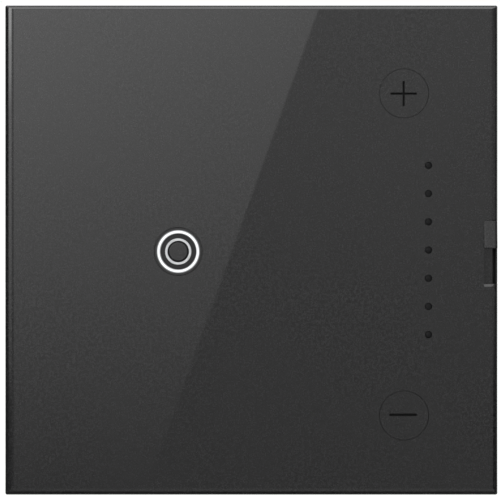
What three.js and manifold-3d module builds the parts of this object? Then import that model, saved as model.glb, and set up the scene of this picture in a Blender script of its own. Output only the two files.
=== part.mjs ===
// Touch-face wall dimmer module with an edge slide switch that breaks the line (an air-gap switch).
//
// Millimetres. X is to the right of a person facing the module, Y runs into the wall, Z is up.
// Parts are drawn with Y = 0 on the mounting plane, where the bezel frame rests on its support;
// the exported group shifts them along Y to put the origin at mid-depth.
import * as THREE from "three";
import { mergeVertices } from "three/addons/utils/BufferGeometryUtils.js";
import Module from "manifold-3d";

const wasm = await Module();
wasm.setup();

// ---------------------------------------------------------------- driving dimensions
// Places on the face are [x, z]; ranges are [low, high].
const FACE_W = 67.5; // face, three 22.5 mm modules wide
const FACE_H = 67.1;
const FACE_CORNER_R = 0.5;
const FACE_Y = -11; // front of the face
const PANEL_T = 2; // thickness of the face panel
const PANEL_REAR = FACE_Y + PANEL_T;
const SKIRT_T = 1.2; // wall of the face plate's rim
const SKIRT_END = -4.7; // rear edge of that rim
const FRAME_W = 67.1;
const FRAME_H = 66.7;
const SNAP_ARM_X = 15;

const POWER = [-10.02, -0.2]; // on/off key
const PLUS = [20.91, 21.45];
const MINUS = [20.91, -22.66];
const KEY_R = 3.31; // raise and lower keys
const KEY_HOLE_R = 3.41;
const RING_OUT = 2.92; // light ring round the on/off key
const RING_IN = 2.5;
const POWER_R = 2.38; // on/off key inside the ring
const INLAY_OUT = 1.86; // ring set in the key
const INLAY_IN = 1.44;
const RING_LED = [POWER[0] + 4.95, POWER[1]];

const LEVEL_X = 24.25; // column of level lamps
const LEVEL_PITCH = 3.862;
const LEVEL_R = 0.42;
const LEVEL_COUNT = 7;
const LEVEL_Z = Array.from(
  { length: LEVEL_COUNT },
  (_, i) => ((LEVEL_COUNT - 1) / 2 - i) * LEVEL_PITCH,
);

const SLOT_X = 31.85; // edge slot for the air-gap slider, from here to the right edge
const SLOT_TOP = 4.05;
const SLOT_REAR = FACE_Y + 1;
const TAB_TOP = 3.95;
const TAB_BOTTOM = 0.27;
const AIR_GAP_TRAVEL = 4.8;
const SLOT_BOTTOM = TAB_BOTTOM - AIR_GAP_TRAVEL - 0.09;
const BLADE_LEG_Z = { line: 5.4, load: -2.4 };

const BOARD_Y = [-5.8, -4.2]; // control board
const BOARD_FRONT_GAP = 0.05; // between that board and the parts on its front
const YOKE_Y = [-1.5, -0.02]; // aluminium heat-sink plate
const YOKE_SIDE_X = 26; // clip rivets and heat slots
const TRANSISTOR_X = 9.5; // either side of the centre
const TRANSISTOR_SCREW_Z = 14;
const POWER_BOARD_Y = [12, 13.6];
const CHOKE_Y = 19.4;

const HOUSING_W = 44;
const HOUSING_H = 58;
const HOUSING_Y = [0.15, 31.2];
const WALL = 1.8;
const SCREW_X = 18.4; // long housing screws
const SCREW_Z = 25.4;
const BAY_Z = 13; // terminal bays, two on each side of the housing
const BAY_HALF = 5.5;
const BAY_FLOOR = 16.4;
const BAY_FRONT = 16.5;
const TERMINAL_Y = 23.5; // axis of the terminal screws

const FRONT_MOST = -11.42; // lower lip of the air-gap tab
const REAR_MOST = HOUSING_Y[1];
const CENTRE_Y = (FRONT_MOST + REAR_MOST) / 2;

// Y ranges of cutters that pass right through a part
const THROUGH_FACE = [-12, -8];
const THROUGH_MASK = [-9, -6];
const THROUGH_YOKE = [-3, 2];
const THROUGH_POWER_BOARD = [10, 16];

const SIDES = [-1, 1];
const CORNERS = SIDES.flatMap((sideX) => SIDES.map((sideZ) => [sideX, sideZ]));

// ---------------------------------------------------------------- materials
const material = (settings) => new THREE.MeshStandardMaterial(settings);
const metal = (settings) => material({ metalness: 1, ...settings });

const graphite = material({ color: 0x343434, roughness: 0.35 });
const black = material({ color: 0x161616, roughness: 0.6 });
const darkGrey = material({ color: 0x242424, roughness: 0.65 });
const lightGuide = material({ color: 0xf4f6f8, roughness: 0.3 });
const ringGrey = material({ color: 0xc4c6c8, roughness: 0.35 });
const smoked = material({ color: 0x0e0e0f, roughness: 0.2 });
const nylon = material({ color: 0xd8d4c6, roughness: 0.5 });
const fibreglass = material({ color: 0x1e4a2e, roughness: 0.5 });
const aluminium = metal({ color: 0xb4b6b8, roughness: 0.4 });
const steel = metal({ color: 0xa8aaac, roughness: 0.35 });
const brass = metal({ color: 0xb99a55, roughness: 0.35 });
const copper = metal({ color: 0xb87345, roughness: 0.35 });
const nickel = metal({ color: 0xc8c6be, roughness: 0.3 });
const groundGreen = metal({ color: 0x1f7a3a, roughness: 0.4, metalness: 0.3 });
const chipBlack = material({ color: 0x1a1a1c, roughness: 0.45 });
const ledWhite = material({ color: 0xf2ecd8, roughness: 0.4 });
const ferrite = material({ color: 0x3a3b3e, roughness: 0.7 });
const filmYellow = material({ color: 0xd0a428, roughness: 0.45 });
const canBlue = material({ color: 0x23304a, roughness: 0.35 });
const varistorBlue = material({ color: 0x2b62a8, roughness: 0.5 });
const fuseGlass = material({ color: 0xcfd8d8, roughness: 0.15 });

// ---------------------------------------------------------------- helpers
const join = (...shapes) => shapes.reduce((whole, shape) => whole.add(shape));
const cut = (body, ...cutters) => cutters.reduce((rest, cutter) => rest.subtract(cutter), body);

const around = (centre, half) => [centre - half, centre + half];

// Range between two distances from the centre, on the negative or the positive side.
const span = (side, near, far) => (side > 0 ? [near, far] : [-far, -near]);

function solid(geometry) {
  geometry.deleteAttribute("normal");
  geometry.deleteAttribute("uv");
  const merged = mergeVertices(geometry, 1e-4);
  return new wasm.Manifold(
    new wasm.Mesh({
      numProp: 3,
      vertProperties: new Float32Array(merged.attributes.position.array),
      triVerts: new Uint32Array(merged.index.array),
    }),
  );
}

function geometryOf(manifold) {
  const mesh = manifold.getMesh();
  const geometry = new THREE.BufferGeometry()
    .setAttribute("position", new THREE.BufferAttribute(new Float32Array(mesh.vertProperties), 3))
    .setIndex(new THREE.BufferAttribute(new Uint32Array(mesh.triVerts), 1));
  geometry.computeVertexNormals();
  return geometry;
}

const box = ([x0, x1], [y0, y1], [z0, z1]) =>
  solid(
    new THREE.BoxGeometry(x1 - x0, y1 - y0, z1 - z0).translate(
      (x0 + x1) / 2,
      (y0 + y1) / 2,
      (z0 + z1) / 2,
    ),
  );

const cylinderY = (radius, [y0, y1], segments, x = 0, z = 0) =>
  solid(
    new THREE.CylinderGeometry(radius, radius, y1 - y0, segments).translate(x, (y0 + y1) / 2, z),
  );

const cylinderX = (radius, [x0, x1], segments, y, z) =>
  solid(
    new THREE.CylinderGeometry(radius, radius, x1 - x0, segments)
      .rotateZ(Math.PI / 2)
      .translate((x0 + x1) / 2, y, z),
  );

// Four cylinders along Y, mirrored to the corners at (±x, ±z).
const cornerCylinders = (radius, yRange, segments, x, z) =>
  CORNERS.map(([sideX, sideZ]) => cylinderY(radius, yRange, segments, sideX * x, sideZ * z));

const vectors = (points) => points.map(([u, v]) => new THREE.Vector2(u, v));

// Body of revolution about Y from [radius, y] points, listed from the front end.
const turned = (points, segments) => solid(new THREE.LatheGeometry(vectors(points), segments));

const tubeY = (inner, outer, [y0, y1], segments) =>
  turned([[inner, y0], [outer, y0], [outer, y1], [inner, y1], [inner, y0]], segments);

function roundRect(width, height, radius) {
  const shape = new THREE.Shape();
  const x = width / 2;
  const y = height / 2;
  const quarter = Math.PI / 2;
  shape.moveTo(-x + radius, -y);
  shape.lineTo(x - radius, -y);
  shape.absarc(x - radius, -y + radius, radius, -quarter, 0, false);
  shape.lineTo(x, y - radius);
  shape.absarc(x - radius, y - radius, radius, 0, quarter, false);
  shape.lineTo(-x + radius, y);
  shape.absarc(-x + radius, y - radius, radius, quarter, 2 * quarter, false);
  shape.lineTo(-x, -y + radius);
  shape.absarc(-x + radius, -y + radius, radius, 2 * quarter, 3 * quarter, false);
  return shape;
}

// Rounded rectangle in X and Z, pulled along Y.
const slab = (width, height, radius, [y0, y1]) =>
  solid(
    new THREE.ExtrudeGeometry(roundRect(width, height, radius), {
      depth: y1 - y0,
      bevelEnabled: false,
      curveSegments: 3,
    })
      .rotateX(Math.PI / 2)
      .translate(0, y1, 0),
  );

// [x, y] outline pulled along Z.
const prismZ = (points, [z0, z1]) =>
  solid(
    new THREE.ExtrudeGeometry(new THREE.Shape(vectors(points)), {
      depth: z1 - z0,
      bevelEnabled: false,
    }).translate(0, 0, z0),
  );

// [y, z] outline pulled along X. Drawn as (-z, y), which the turn about Y puts in place.
const prismX = (points, [x0, x1]) =>
  solid(
    new THREE.ExtrudeGeometry(new THREE.Shape(vectors(points.map(([y, z]) => [-z, y]))), {
      depth: x1 - x0,
      bevelEnabled: false,
    })
      .rotateY(Math.PI / 2)
      .translate(x0, 0, 0),
  );

// Two bars crossed on the Y axis.
const cross = (half, halfWidth, yRange) => [
  box([-half, half], yRange, [-halfWidth, halfWidth]),
  box([-halfWidth, halfWidth], yRange, [-half, half]),
];

const dimmer = new THREE.Group();
dimmer.position.y = -CENTRE_Y;

function add(name, shape, mat, { at = [0, 0, 0], turn = [0, 0, 0], parent = dimmer } = {}) {
  const mesh = new THREE.Mesh(shape.isBufferGeometry ? shape : geometryOf(shape), mat);
  mesh.name = name;
  mesh.position.set(...at);
  mesh.rotation.set(...turn);
  parent.add(mesh);
}

const onFace = ([x, z]) => ({ at: [x, 0, z] });

// Group for parts drawn on the right; the left one is turned half round.
function sideGroup(side, z = 0) {
  const group = new THREE.Group();
  group.rotation.y = side < 0 ? Math.PI : 0;
  group.position.z = z;
  dimmer.add(group);
  return group;
}

// ---------------------------------------------------------------- face plate
// Solid block of the face plate with its front edge bevelled.
function faceBlock({ inset, depth, segments }) {
  const core = SKIRT_END - FACE_Y + 4; // long enough for the rear bevel to be trimmed off
  const cornerR = Math.max(FACE_CORNER_R - inset, 0.06);
  const outline = roundRect(FACE_W - 2 * inset, FACE_H - 2 * inset, cornerR);
  const geometry = new THREE.ExtrudeGeometry(outline, {
    depth: core,
    bevelEnabled: true,
    bevelSize: inset,
    bevelThickness: depth,
    bevelSegments: segments,
    curveSegments: 3,
  })
    .rotateX(Math.PI / 2)
    .translate(0, FACE_Y + core + depth, 0);
  return solid(geometry).intersect(box([-200, 200], [FACE_Y - 1, SKIRT_END], [-200, 200]));
}

function snapArm(sideX, sideZ) {
  // [y, distance from the centre along Z]
  const outline = [
    [PANEL_REAR - 0.4, 29.9],
    [PANEL_REAR - 0.4, 30.85],
    [-6.6, 30.85],
    [-6.4, 31.55],
    [-6.0, 31.55],
    [-5.1, 30.75],
    [-5.1, 29.9],
  ];
  return prismX(
    outline.map(([y, distance]) => [y, sideZ * distance]),
    around(sideX * SNAP_ARM_X, 2.5),
  );
}

// Shallow ramp from the lower end of the edge slot up to the face.
const slotRamp = () =>
  prismX(
    [
      [FACE_Y + 0.11, SLOT_BOTTOM + 0.2],
      [FACE_Y + 0.11, SLOT_BOTTOM],
      [FACE_Y - 0.01, SLOT_BOTTOM - 0.43],
      [FACE_Y - 1, SLOT_BOTTOM - 0.9],
      [FACE_Y - 1, SLOT_BOTTOM + 0.2],
    ],
    [SLOT_X, 40],
  );

function facePlate() {
  // two bevels intersected give a rounded edge
  const block = faceBlock({ inset: 0.75, depth: 0.268, segments: 1 }).intersect(
    faceBlock({ inset: 0.36, depth: 0.5, segments: 2 }),
  );
  const shell = cut(
    block,
    slab(FACE_W - 2 * SKIRT_T, FACE_H - 2 * SKIRT_T, 0.4, [PANEL_REAR, 0]),
  );
  return cut(
    join(shell, ...CORNERS.map(([sideX, sideZ]) => snapArm(sideX, sideZ))),
    cylinderY(KEY_HOLE_R, THROUGH_FACE, 32, ...PLUS),
    cylinderY(KEY_HOLE_R, THROUGH_FACE, 32, ...MINUS),
    cylinderY(RING_OUT + 0.1, THROUGH_FACE, 28, ...POWER),
    ...LEVEL_Z.map((z) => cylinderY(LEVEL_R + 0.05, THROUGH_FACE, 10, LEVEL_X, z)),
    box([SLOT_X, 40], [-13, SLOT_REAR], [SLOT_BOTTOM, SLOT_TOP]), // edge slot
    box([28.9, 33.42], [SLOT_REAR - 0.02, -8.9], [-11.3, 10.2]), // pocket for the shutter
    slotRamp(),
  );
}
add("face_plate", facePlate(), graphite);

// ---------------------------------------------------------------- bezel frame
// Openings through the frame's floor and the yoke: board connector, air-gap blades.
const floorOpenings = () => [
  box([-9, 9], [-4, 2], [-27, -21.5]),
  ...Object.values(BLADE_LEG_Z).map((z) => box([15.6, 18.2], [-4, 2], around(z, 1.8))),
];

// Tray behind the face: rim, spigot inside the face plate, floor, screw bosses.
function bezelFrame() {
  const tray = cut(
    join(
      slab(FRAME_W, FRAME_H, 0.7, [-4.55, -0.25]), // rim
      slab(64.7, 64.3, 0.4, [-8.6, -4.5]), // spigot
    ),
    slab(62.7, 62.3, 0.4, [-9, -3.05]), // hollow of the tray
    slab(60.3, 60.3, 1.2, [-1.6, 1]), // seat of the yoke
  );
  const bossed = join(
    tray,
    // seats that rest on the support frame
    box([-26, 26], [-0.5, 0], [30.7, 32.9]),
    box([-13, 13], [-0.5, 0], [-32.9, -30.7]),
    ...cornerCylinders(2.7, [-4.05, -1.7], 14, SCREW_X, SCREW_Z),
  );
  const opened = cut(
    bossed,
    ...cornerCylinders(1.3, [-5, -1], 10, SCREW_X, SCREW_Z),
    // windows for the snap arms' barbs
    ...CORNERS.map(([sideX, sideZ]) =>
      box(around(sideX * SNAP_ARM_X, 2.8), [-6.7, -5.5], span(sideZ, 30, 34)),
    ),
    ...floorOpenings(),
    // grip notches for a screwdriver blade, bottom edge of the rim
    ...SIDES.map((side) => box(span(side, 15, 21), [-1.2, 1], [-34, -32.2])),
  );
  return join(
    opened,
    // guide ribs above and below the air-gap carriage
    box([27.9, 31.6], [-8.4, -3], [10.9, 11.9]),
    box([27.9, 31.6], [-8.4, -3], [-13.2, -12.2]),
  );
}
add("bezel_frame", bezelFrame(), black);

// ---------------------------------------------------------------- light guides
const GUIDE_FLANGE_REAR = -8.1;

const powerLightRing = () =>
  join(
    tubeY(RING_IN, RING_OUT, [FACE_Y, -8.9], 28),
    tubeY(RING_IN, 5.2, [-8.95, GUIDE_FLANGE_REAR], 28),
  );
add("power_light_ring", powerLightRing(), lightGuide, onFace(POWER));

const levelLightPipe = () =>
  join(
    box([23.3, 25.4], [-8.9, GUIDE_FLANGE_REAR], [-12.9, 12.9]),
    ...LEVEL_Z.map((z) => cylinderY(LEVEL_R, [FACE_Y + 0.12, -8.5], 10, LEVEL_X, z)),
  );
add("level_light_pipe", levelLightPipe(), smoked);

// Notch in the right edge of the light mask and control board, clear of the air-gap switch.
const sliderNotch = () => box([26.2, 40], [-9, -3], [-17, 17]);

function lightMask() {
  const mask = cut(
    slab(62, 59, 1, [-8, -6.7]),
    sliderNotch(),
    cylinderY(3.7, THROUGH_MASK, 20, ...POWER),
    cylinderY(1.1, THROUGH_MASK, 10, ...RING_LED),
    cylinderY(4.5, THROUGH_MASK, 18, ...PLUS),
    cylinderY(4.5, THROUGH_MASK, 18, ...MINUS),
    ...LEVEL_Z.map((z) => box(around(LEVEL_X, 1.2), THROUGH_MASK, around(z, 0.9))),
  );
  // feet towards the control board
  return join(mask, ...cornerCylinders(1.3, [-6.8, BOARD_Y[0] - 0.06], 8, 24, 27));
}
add("light_mask", lightMask(), black);

// ---------------------------------------------------------------- keys
const KEY_EDGE = 0.08; // bevel round the front of a key

// On/off key: a groove for the inlay ring in front, a flange behind the light ring.
const powerKey = () =>
  turned(
    [
      [0, FACE_Y],
      [1.25, FACE_Y],
      [1.25, -9.4],
      [1.9, -9.4],
      [1.9, FACE_Y + 0.15],
      [POWER_R - KEY_EDGE, FACE_Y + 0.15],
      [POWER_R, FACE_Y + 0.23],
      [POWER_R, -8],
      [3.3, -8],
      [3.3, -7.5],
      [0, -7.5],
    ],
    26,
  );
add("power_key", powerKey(), graphite, onFace(POWER));
add(
  "power_key_inlay",
  tubeY(INLAY_IN, INLAY_OUT, [FACE_Y, -9.55], 26),
  ringGrey,
  onFace(POWER),
);

const levelKey = () =>
  turned(
    [
      [0, FACE_Y],
      [KEY_R - KEY_EDGE, FACE_Y],
      [KEY_R, FACE_Y + KEY_EDGE],
      [KEY_R, -8.95],
      [4.1, -8.95],
      [4.1, -8.3],
      [1.5, -8.3],
      [1.5, -8],
      [0, -8],
    ],
    30,
  );

// Cutter for one stroke of a sign engraved in a key.
const stroke = (width, height) =>
  box(around(0, width / 2), [-12, FACE_Y + 0.25], around(0, height / 2));

const plusKey = () => cut(levelKey(), stroke(3.57, 0.28), stroke(0.28, 3.43));
const minusKey = () => cut(levelKey(), stroke(3.77, 0.36));
add("plus_key", plusKey(), graphite, onFace(PLUS));
add("minus_key", minusKey(), graphite, onFace(MINUS));

// ---------------------------------------------------------------- control board
const ON_BOARD = BOARD_Y[0] - BOARD_FRONT_GAP; // rear of the parts on its front

add("control_board", cut(slab(61.6, 59, 1, BOARD_Y), sliderNotch()), fibreglass);

// Tactile switch: a base with a well, and the plunger that the key pushes.
const tactBase = (rim) =>
  cut(
    box([-2.25, 2.25], [rim, ON_BOARD], [-2.25, 2.25]),
    cylinderY(1.25, [rim - 1, -6.2], 14),
  );

// [key, place, front of the plunger]
for (const [key, place, front] of [
  ["power", POWER, -7.4],
  ["plus", PLUS, -7.9],
  ["minus", MINUS, -7.9],
]) {
  add(`${key}_tact_base`, tactBase(front + 0.65), chipBlack, onFace(place));
  add(
    `${key}_tact_plunger`,
    cylinderY(1.1, [front, front + 0.78], 14),
    nylon,
    onFace(place),
  );
}

const led = () =>
  join(
    box([-0.8, 0.8], [-6.25, ON_BOARD], [-0.4, 0.4]),
    box([-0.55, 0.55], [-6.6, -6.2], [-0.4, 0.4]),
  );
LEVEL_Z.forEach((z, i) => add(`level_led_${i + 1}`, led(), ledWhite, onFace([LEVEL_X, z])));
add("ring_led", led(), ledWhite, { ...onFace(RING_LED), turn: [0, Math.PI / 2, 0] });

const microcontroller = () =>
  join(
    box([-3.5, 3.5], [-4, -3.15], [-3.5, 3.5]),
    ...[-2.4, -0.8, 0.8, 2.4].map((x) => box(around(x, 0.2), [-4.1, -3.8], [-4.5, 4.5])),
  );
add("microcontroller", microcontroller(), chipBlack, onFace([-14, 8]));

const boardConnector = () =>
  join(
    box([-7.8, 7.8], [2.2, 9.4], [-25.4, -22.8]),
    ...[-6.35, -3.81, -1.27, 1.27, 3.81, 6.35].map((x) =>
      box(around(x, 0.32), [-4.1, 11.9], [-24.42, -23.78]),
    ),
  );
add("board_connector", boardConnector(), chipBlack);

// ---------------------------------------------------------------- air-gap switch
// Tab, shutter and stem in one moulding; the shutter closes the slot wherever the tab stands.
function airGapSlider() {
  const left = SLOT_X + 0.13;
  const tab = prismX(
    [
      [SLOT_REAR - 0.05, TAB_BOTTOM],
      [FRONT_MOST + 0.12, TAB_BOTTOM],
      [FRONT_MOST, TAB_BOTTOM + 0.22],
      [FACE_Y - 0.02, TAB_TOP - 0.16],
      [FACE_Y + 0.12, TAB_TOP],
      [SLOT_REAR - 0.05, TAB_TOP],
    ],
    [left, 33.68],
  );
  return join(
    tab,
    box([left, 33], [-10.2, -9.5], [TAB_BOTTOM, TAB_TOP]), // root of the tab
    box([29.1, 33.08], [-9.92, -9.15], [-5.6, 9.7]), // shutter
    box([29.4, 31], [-9.3, -6.2], [0.6, 3.6]), // stem
  );
}
add("air_gap_slider", airGapSlider(), graphite);

// Carriage on the slider's stem; the detent spring bears on the ridge along its rear.
const airGapCarriage = () =>
  cut(
    prismX(
      [
        [-4.5, -1],
        [-4.5, 0.2],
        [-3.95, 0.9],
        [-3.95, 3.3],
        [-4.5, 4],
        [-4.5, 5.2],
        [-8.6, 5.2],
        [-8.6, -1],
      ],
      [27.8, 31.2],
    ),
    box([29.3, 31.1], [-9, -6.1], [0.5, 3.7]), // socket for the stem
  );
add("air_gap_carriage", airGapCarriage(), nylon);

// Bridging contact on the left of the carriage, hooked over its front.
const airGapBridge = () =>
  join(
    box([27.3, 27.7], [-8, -5], [-0.5, 4.7]),
    box([27.3, 29], [-8.95, -8.65], [0.9, 3.3]),
    box([27.3, 27.7], [-8.95, -7.9], [0.9, 3.3]),
  );
add("air_gap_bridge", airGapBridge(), copper);

// Fixed contact, with a strip to the left and a leg back towards the power board.
function airGapBlade(contactZ, legZ) {
  const legRange = around(legZ, 0.9);
  return join(
    box([26.7, 27.1], [-8, -3.3], contactZ),
    box([16.6, 27.1], [-3.7, -3.3], legRange),
    box([16.6, 17.2], [-3.7, 11.8], legRange),
  );
}
add("air_gap_blade_line", airGapBlade([3.4, 7.4], BLADE_LEG_Z.line), brass);
add("air_gap_blade_load", airGapBlade([-4.4, 1], BLADE_LEG_Z.load), brass);

// Leaf on the tray floor behind the carriage, with a bump towards it.
function airGapDetentSpring() {
  const bumpZ = -0.4;
  const outline = [
    [-3.1, -11],
    [-3.1, bumpZ - 1],
    [-4, bumpZ - 0.25],
    [-4, bumpZ + 0.25],
    [-3.1, bumpZ + 1],
    [-3.1, 9.5],
    [-3.35, 9.5],
    [-3.35, bumpZ + 1.1],
    [-4.3, bumpZ + 0.3],
    [-4.3, bumpZ - 0.3],
    [-3.35, bumpZ - 1.1],
    [-3.35, -11],
  ];
  return prismX(outline, [28.4, 30.8]);
}
add("air_gap_detent_spring", airGapDetentSpring(), steel);

// ---------------------------------------------------------------- yoke and transistors
function heatsinkYoke() {
  const plate = cut(
    slab(59.7, 59.7, 1, YOKE_Y),
    ...cornerCylinders(1.7, THROUGH_YOKE, 10, SCREW_X, SCREW_Z),
    ...floorOpenings(),
    ...SIDES.map((side) =>
      cylinderY(1.3, THROUGH_YOKE, 10, side * TRANSISTOR_X, TRANSISTOR_SCREW_Z),
    ),
    // heat slots either side of the housing
    ...SIDES.flatMap((side) =>
      [-22, -17.5, -13, 13, 17.5, 22].map((z) =>
        box(around(side * YOKE_SIDE_X, 2.2), THROUGH_YOKE, around(z, 0.9)),
      ),
    ),
  );
  // rivets for the clips: shank and head
  const rivets = SIDES.flatMap((side) => [
    cylinderY(1.1, [-0.5, 0.9], 10, side * YOKE_SIDE_X),
    cylinderY(1.9, [0.85, 1.2], 12, side * YOKE_SIDE_X),
  ]);
  return join(plate, ...rivets);
}
add("heatsink_yoke", heatsinkYoke(), aluminium);

// Switching transistor flat behind the yoke; its legs turn back to the power board.
const transistor = () =>
  cut(
    join(
      box([-5, 5], [0.1, 1.4], [1, 16.6]), // tab
      box([-5, 5], [0.8, 4.5], [1, 10]), // body
      ...[-2.54, 0, 2.54].flatMap((x) => [
        box(around(x, 0.4), [2.4, 2.9], [-3, 1.2]),
        box(around(x, 0.4), [2.4, 11.8], [-3.5, -3]),
      ]),
    ),
    cylinderY(1.85, [0, 5], 12, 0, TRANSISTOR_SCREW_Z),
  );

const transistorScrew = () =>
  cut(
    turned(
      [[0, -1.3], [1.15, -1.3], [1.15, 1.5], [2.7, 1.5], [2.7, 3.3], [2.2, 3.9], [0, 3.9]],
      12,
    ),
    ...cross(1.5, 0.3, [3.2, 5]),
  );

for (const [tag, side] of [["a", -1], ["b", 1]]) {
  const x = side * TRANSISTOR_X;
  add(`transistor_${tag}`, transistor(), chipBlack, onFace([x, 0]));
  add(`transistor_screw_${tag}`, transistorScrew(), steel, onFace([x, TRANSISTOR_SCREW_Z]));
}

// ---------------------------------------------------------------- power board
const powerBoard = () =>
  cut(
    box([-19.6, 19.6], POWER_BOARD_Y, [-26.8, 26.8]),
    // corners cleared for the screw columns, and slots for the terminal tongues
    ...CORNERS.flatMap(([sideX, sideZ]) => [
      box(span(sideX, 14, 22), THROUGH_POWER_BOARD, span(sideZ, 21, 29)),
      box(around(sideX * 17, 0.9), THROUGH_POWER_BOARD, around(sideZ * BAY_Z, 1.9)),
    ]),
  );
add("power_board", powerBoard(), fibreglass);

// Toroidal choke behind the power board, its axis along Y.
const CHOKE_R = 7.9; // centre line of the core
const CORE_R = 2.9; // section of the core
const WINDING_R = 3.65; // wire's centre line round that section
const WIRE_R = 0.38;
const WINDING_TURNS = 11;
const WINDING_GAP = 0.12; // radians left bare each side of the leads

function chokeCore() {
  const sides = 8;
  const section = Array.from({ length: sides + 1 }, (_, i) => {
    const angle = ((i % sides) / sides) * 2 * Math.PI;
    return [CHOKE_R + CORE_R * Math.cos(angle), CORE_R * Math.sin(angle)];
  });
  return turned(section, 24);
}

function chokeWinding() {
  const lead = (z) => new THREE.Vector3(CHOKE_R + WINDING_R, -5.6, z);
  const steps = WINDING_TURNS * 8;
  const path = [lead(-1.2)];
  for (let i = 0; i <= steps; i++) {
    const progress = i / steps;
    const along = WINDING_GAP + progress * (2 * Math.PI - 2 * WINDING_GAP);
    const round = -Math.PI / 2 + progress * WINDING_TURNS * 2 * Math.PI;
    const radius = CHOKE_R + WINDING_R * Math.cos(round);
    path.push(
      new THREE.Vector3(
        radius * Math.cos(along),
        WINDING_R * Math.sin(round),
        -radius * Math.sin(along),
      ),
    );
  }
  path.push(lead(1.2));
  const section = Array.from({ length: 4 }, (_, i) => {
    const angle = (i / 4) * 2 * Math.PI;
    return [WIRE_R * Math.cos(angle), WIRE_R * Math.sin(angle)];
  });
  const wire = new THREE.Shape(vectors(section));
  wire.closePath();
  return new THREE.ExtrudeGeometry(wire, {
    steps: path.length - 1,
    bevelEnabled: false,
    extrudePath: new THREE.CatmullRomCurve3(path, false, "centripetal"),
  });
}
add("choke_core", chokeCore(), ferrite, { at: [0, CHOKE_Y, 0] });
add("choke_winding", chokeWinding(), copper, { at: [0, CHOKE_Y, 0] });

const filmCapacitor = () =>
  join(
    box([-9, 9], [14.4, 27.5], [15.2, 22.6]),
    box([-8.6, 8.6], [27.3, 27.8], [15.6, 22.2]), // step on the rear
    ...SIDES.map((side) => box(span(side, 7.4, 8.8), [13.75, 14.6], [15.4, 22.4])), // feet
  );
add("film_capacitor", filmCapacitor(), filmYellow);

// Can with a groove near its front and a score across its rear.
const bulkCapacitor = () =>
  cut(
    turned(
      [
        [0, 13.9],
        [4.6, 13.9],
        [5, 14.3],
        [5, 15.2],
        [4.7, 15.6],
        [5, 16],
        [5, 27.6],
        [4.6, 28],
        [0, 28],
      ],
      18,
    ),
    box([-3.5, 3.5], [27.8, 29], [-0.2, 0.2]),
  );
add("bulk_capacitor", bulkCapacitor(), canBlue, onFace([-7.2, -19.6]));

const varistor = () =>
  join(
    cylinderY(5, [-1.8, 1.8], 18),
    ...SIDES.map((side) => box(span(side, 2.3, 2.9), [-0.3, 0.3], [-6.3, -3])), // legs
  );
add("varistor", varistor(), varistorBlue, {
  at: [5.5, 20.2, -18.2],
  turn: [-Math.PI / 2, 0, 0],
});

const fuse = () =>
  join(
    cylinderY(1.7, [-6, 6], 12),
    ...SIDES.map((side) => cylinderY(2.1, span(side, 3.4, 6.4), 12)), // end caps
  );
add("fuse", fuse(), fuseGlass, { at: [5.5, 16.2, -24.2], turn: [0, 0, Math.PI / 2] });

// ---------------------------------------------------------------- rear housing
// Solid block of the housing with its rear edge bevelled.
function housingBlock() {
  const bevel = 1;
  const overrun = 3; // extra at the front, trimmed off with the front bevel
  const outline = roundRect(HOUSING_W - 2 * bevel, HOUSING_H - 2 * bevel, 1.2);
  const geometry = new THREE.ExtrudeGeometry(outline, {
    depth: HOUSING_Y[1] - HOUSING_Y[0] - bevel + overrun,
    bevelEnabled: true,
    bevelSize: bevel,
    bevelThickness: bevel,
    bevelSegments: 1,
    curveSegments: 2,
  })
    .rotateX(-Math.PI / 2)
    .translate(0, HOUSING_Y[0] - overrun, 0);
  return solid(geometry).intersect(box([-100, 100], [HOUSING_Y[0], 100], [-100, 100]));
}

// Terminal bay: a block added to the body, then hollowed from the side and the rear.
function withBay(body, side, z) {
  return cut(
    body.add(box(span(side, 14.8, 21), [14.9, 30], around(z, BAY_HALF + 1.6))),
    box(span(side, BAY_FLOOR, 30), [BAY_FRONT, 40], around(z, BAY_HALF)),
    cylinderX(2.1, span(side, 15.3, 17), 12, TERMINAL_Y, z),
    box(span(side, 16.3, 17.8), [14, 17], around(z, 1.8)), // tongue slot
  );
}

function rearHousing() {
  const rear = HOUSING_Y[1];
  const inside = slab(HOUSING_W - 2 * WALL, HOUSING_H - 2 * WALL, 1, [-2, rear - WALL]);
  let body = join(
    cut(housingBlock(), inside),
    // corner columns for the long screws, with webs to the side walls
    ...cornerCylinders(3.5, [0.6, rear - 1], 14, SCREW_X, SCREW_Z),
    ...CORNERS.map(([sideX, sideZ]) =>
      box(span(sideX, SCREW_X, 21), [0.6, 30], around(sideZ * SCREW_Z, 1.2)),
    ),
  );
  for (const [sideX, sideZ] of CORNERS) body = withBay(body, sideX, sideZ * BAY_Z);
  return cut(
    body,
    // screw holes and the wells for their heads
    ...cornerCylinders(1.7, [-1, 32], 10, SCREW_X, SCREW_Z),
    ...cornerCylinders(2.75, [26.2, 32], 16, SCREW_X, SCREW_Z),
    // vents in the top and bottom walls
    ...[-10, -6, -2, 2, 6, 10].flatMap((x) =>
      SIDES.map((side) => box(around(x, 0.7), [6, 16], span(side, 26.5, 30))),
    ),
    slab(22, 24, 1, [rear - 0.4, 40]), // label recess
    // strip gauge: a line with a mark at each end
    box([-6, 6], [rear - 0.5, 40], [-18.6, -17.6]),
    ...SIDES.map((side) => box(span(side, 5.2, 6), [rear - 0.5, 40], [-19.8, -16.4])),
  );
}
add("rear_housing", rearHousing(), darkGrey);

// Long screw through the housing and the yoke into the bezel frame.
const housingScrew = () =>
  cut(
    turned(
      [
        [0, -4],
        [1.15, -3.4],
        [1.15, 26.3],
        [2.5, 26.3],
        [2.5, 26.9],
        [2.3, 27.6],
        [1.3, 28.1],
        [0, 28.1],
      ],
      12,
    ),
    ...cross(1.3, 0.28, [27.2, 29]),
  );

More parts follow.
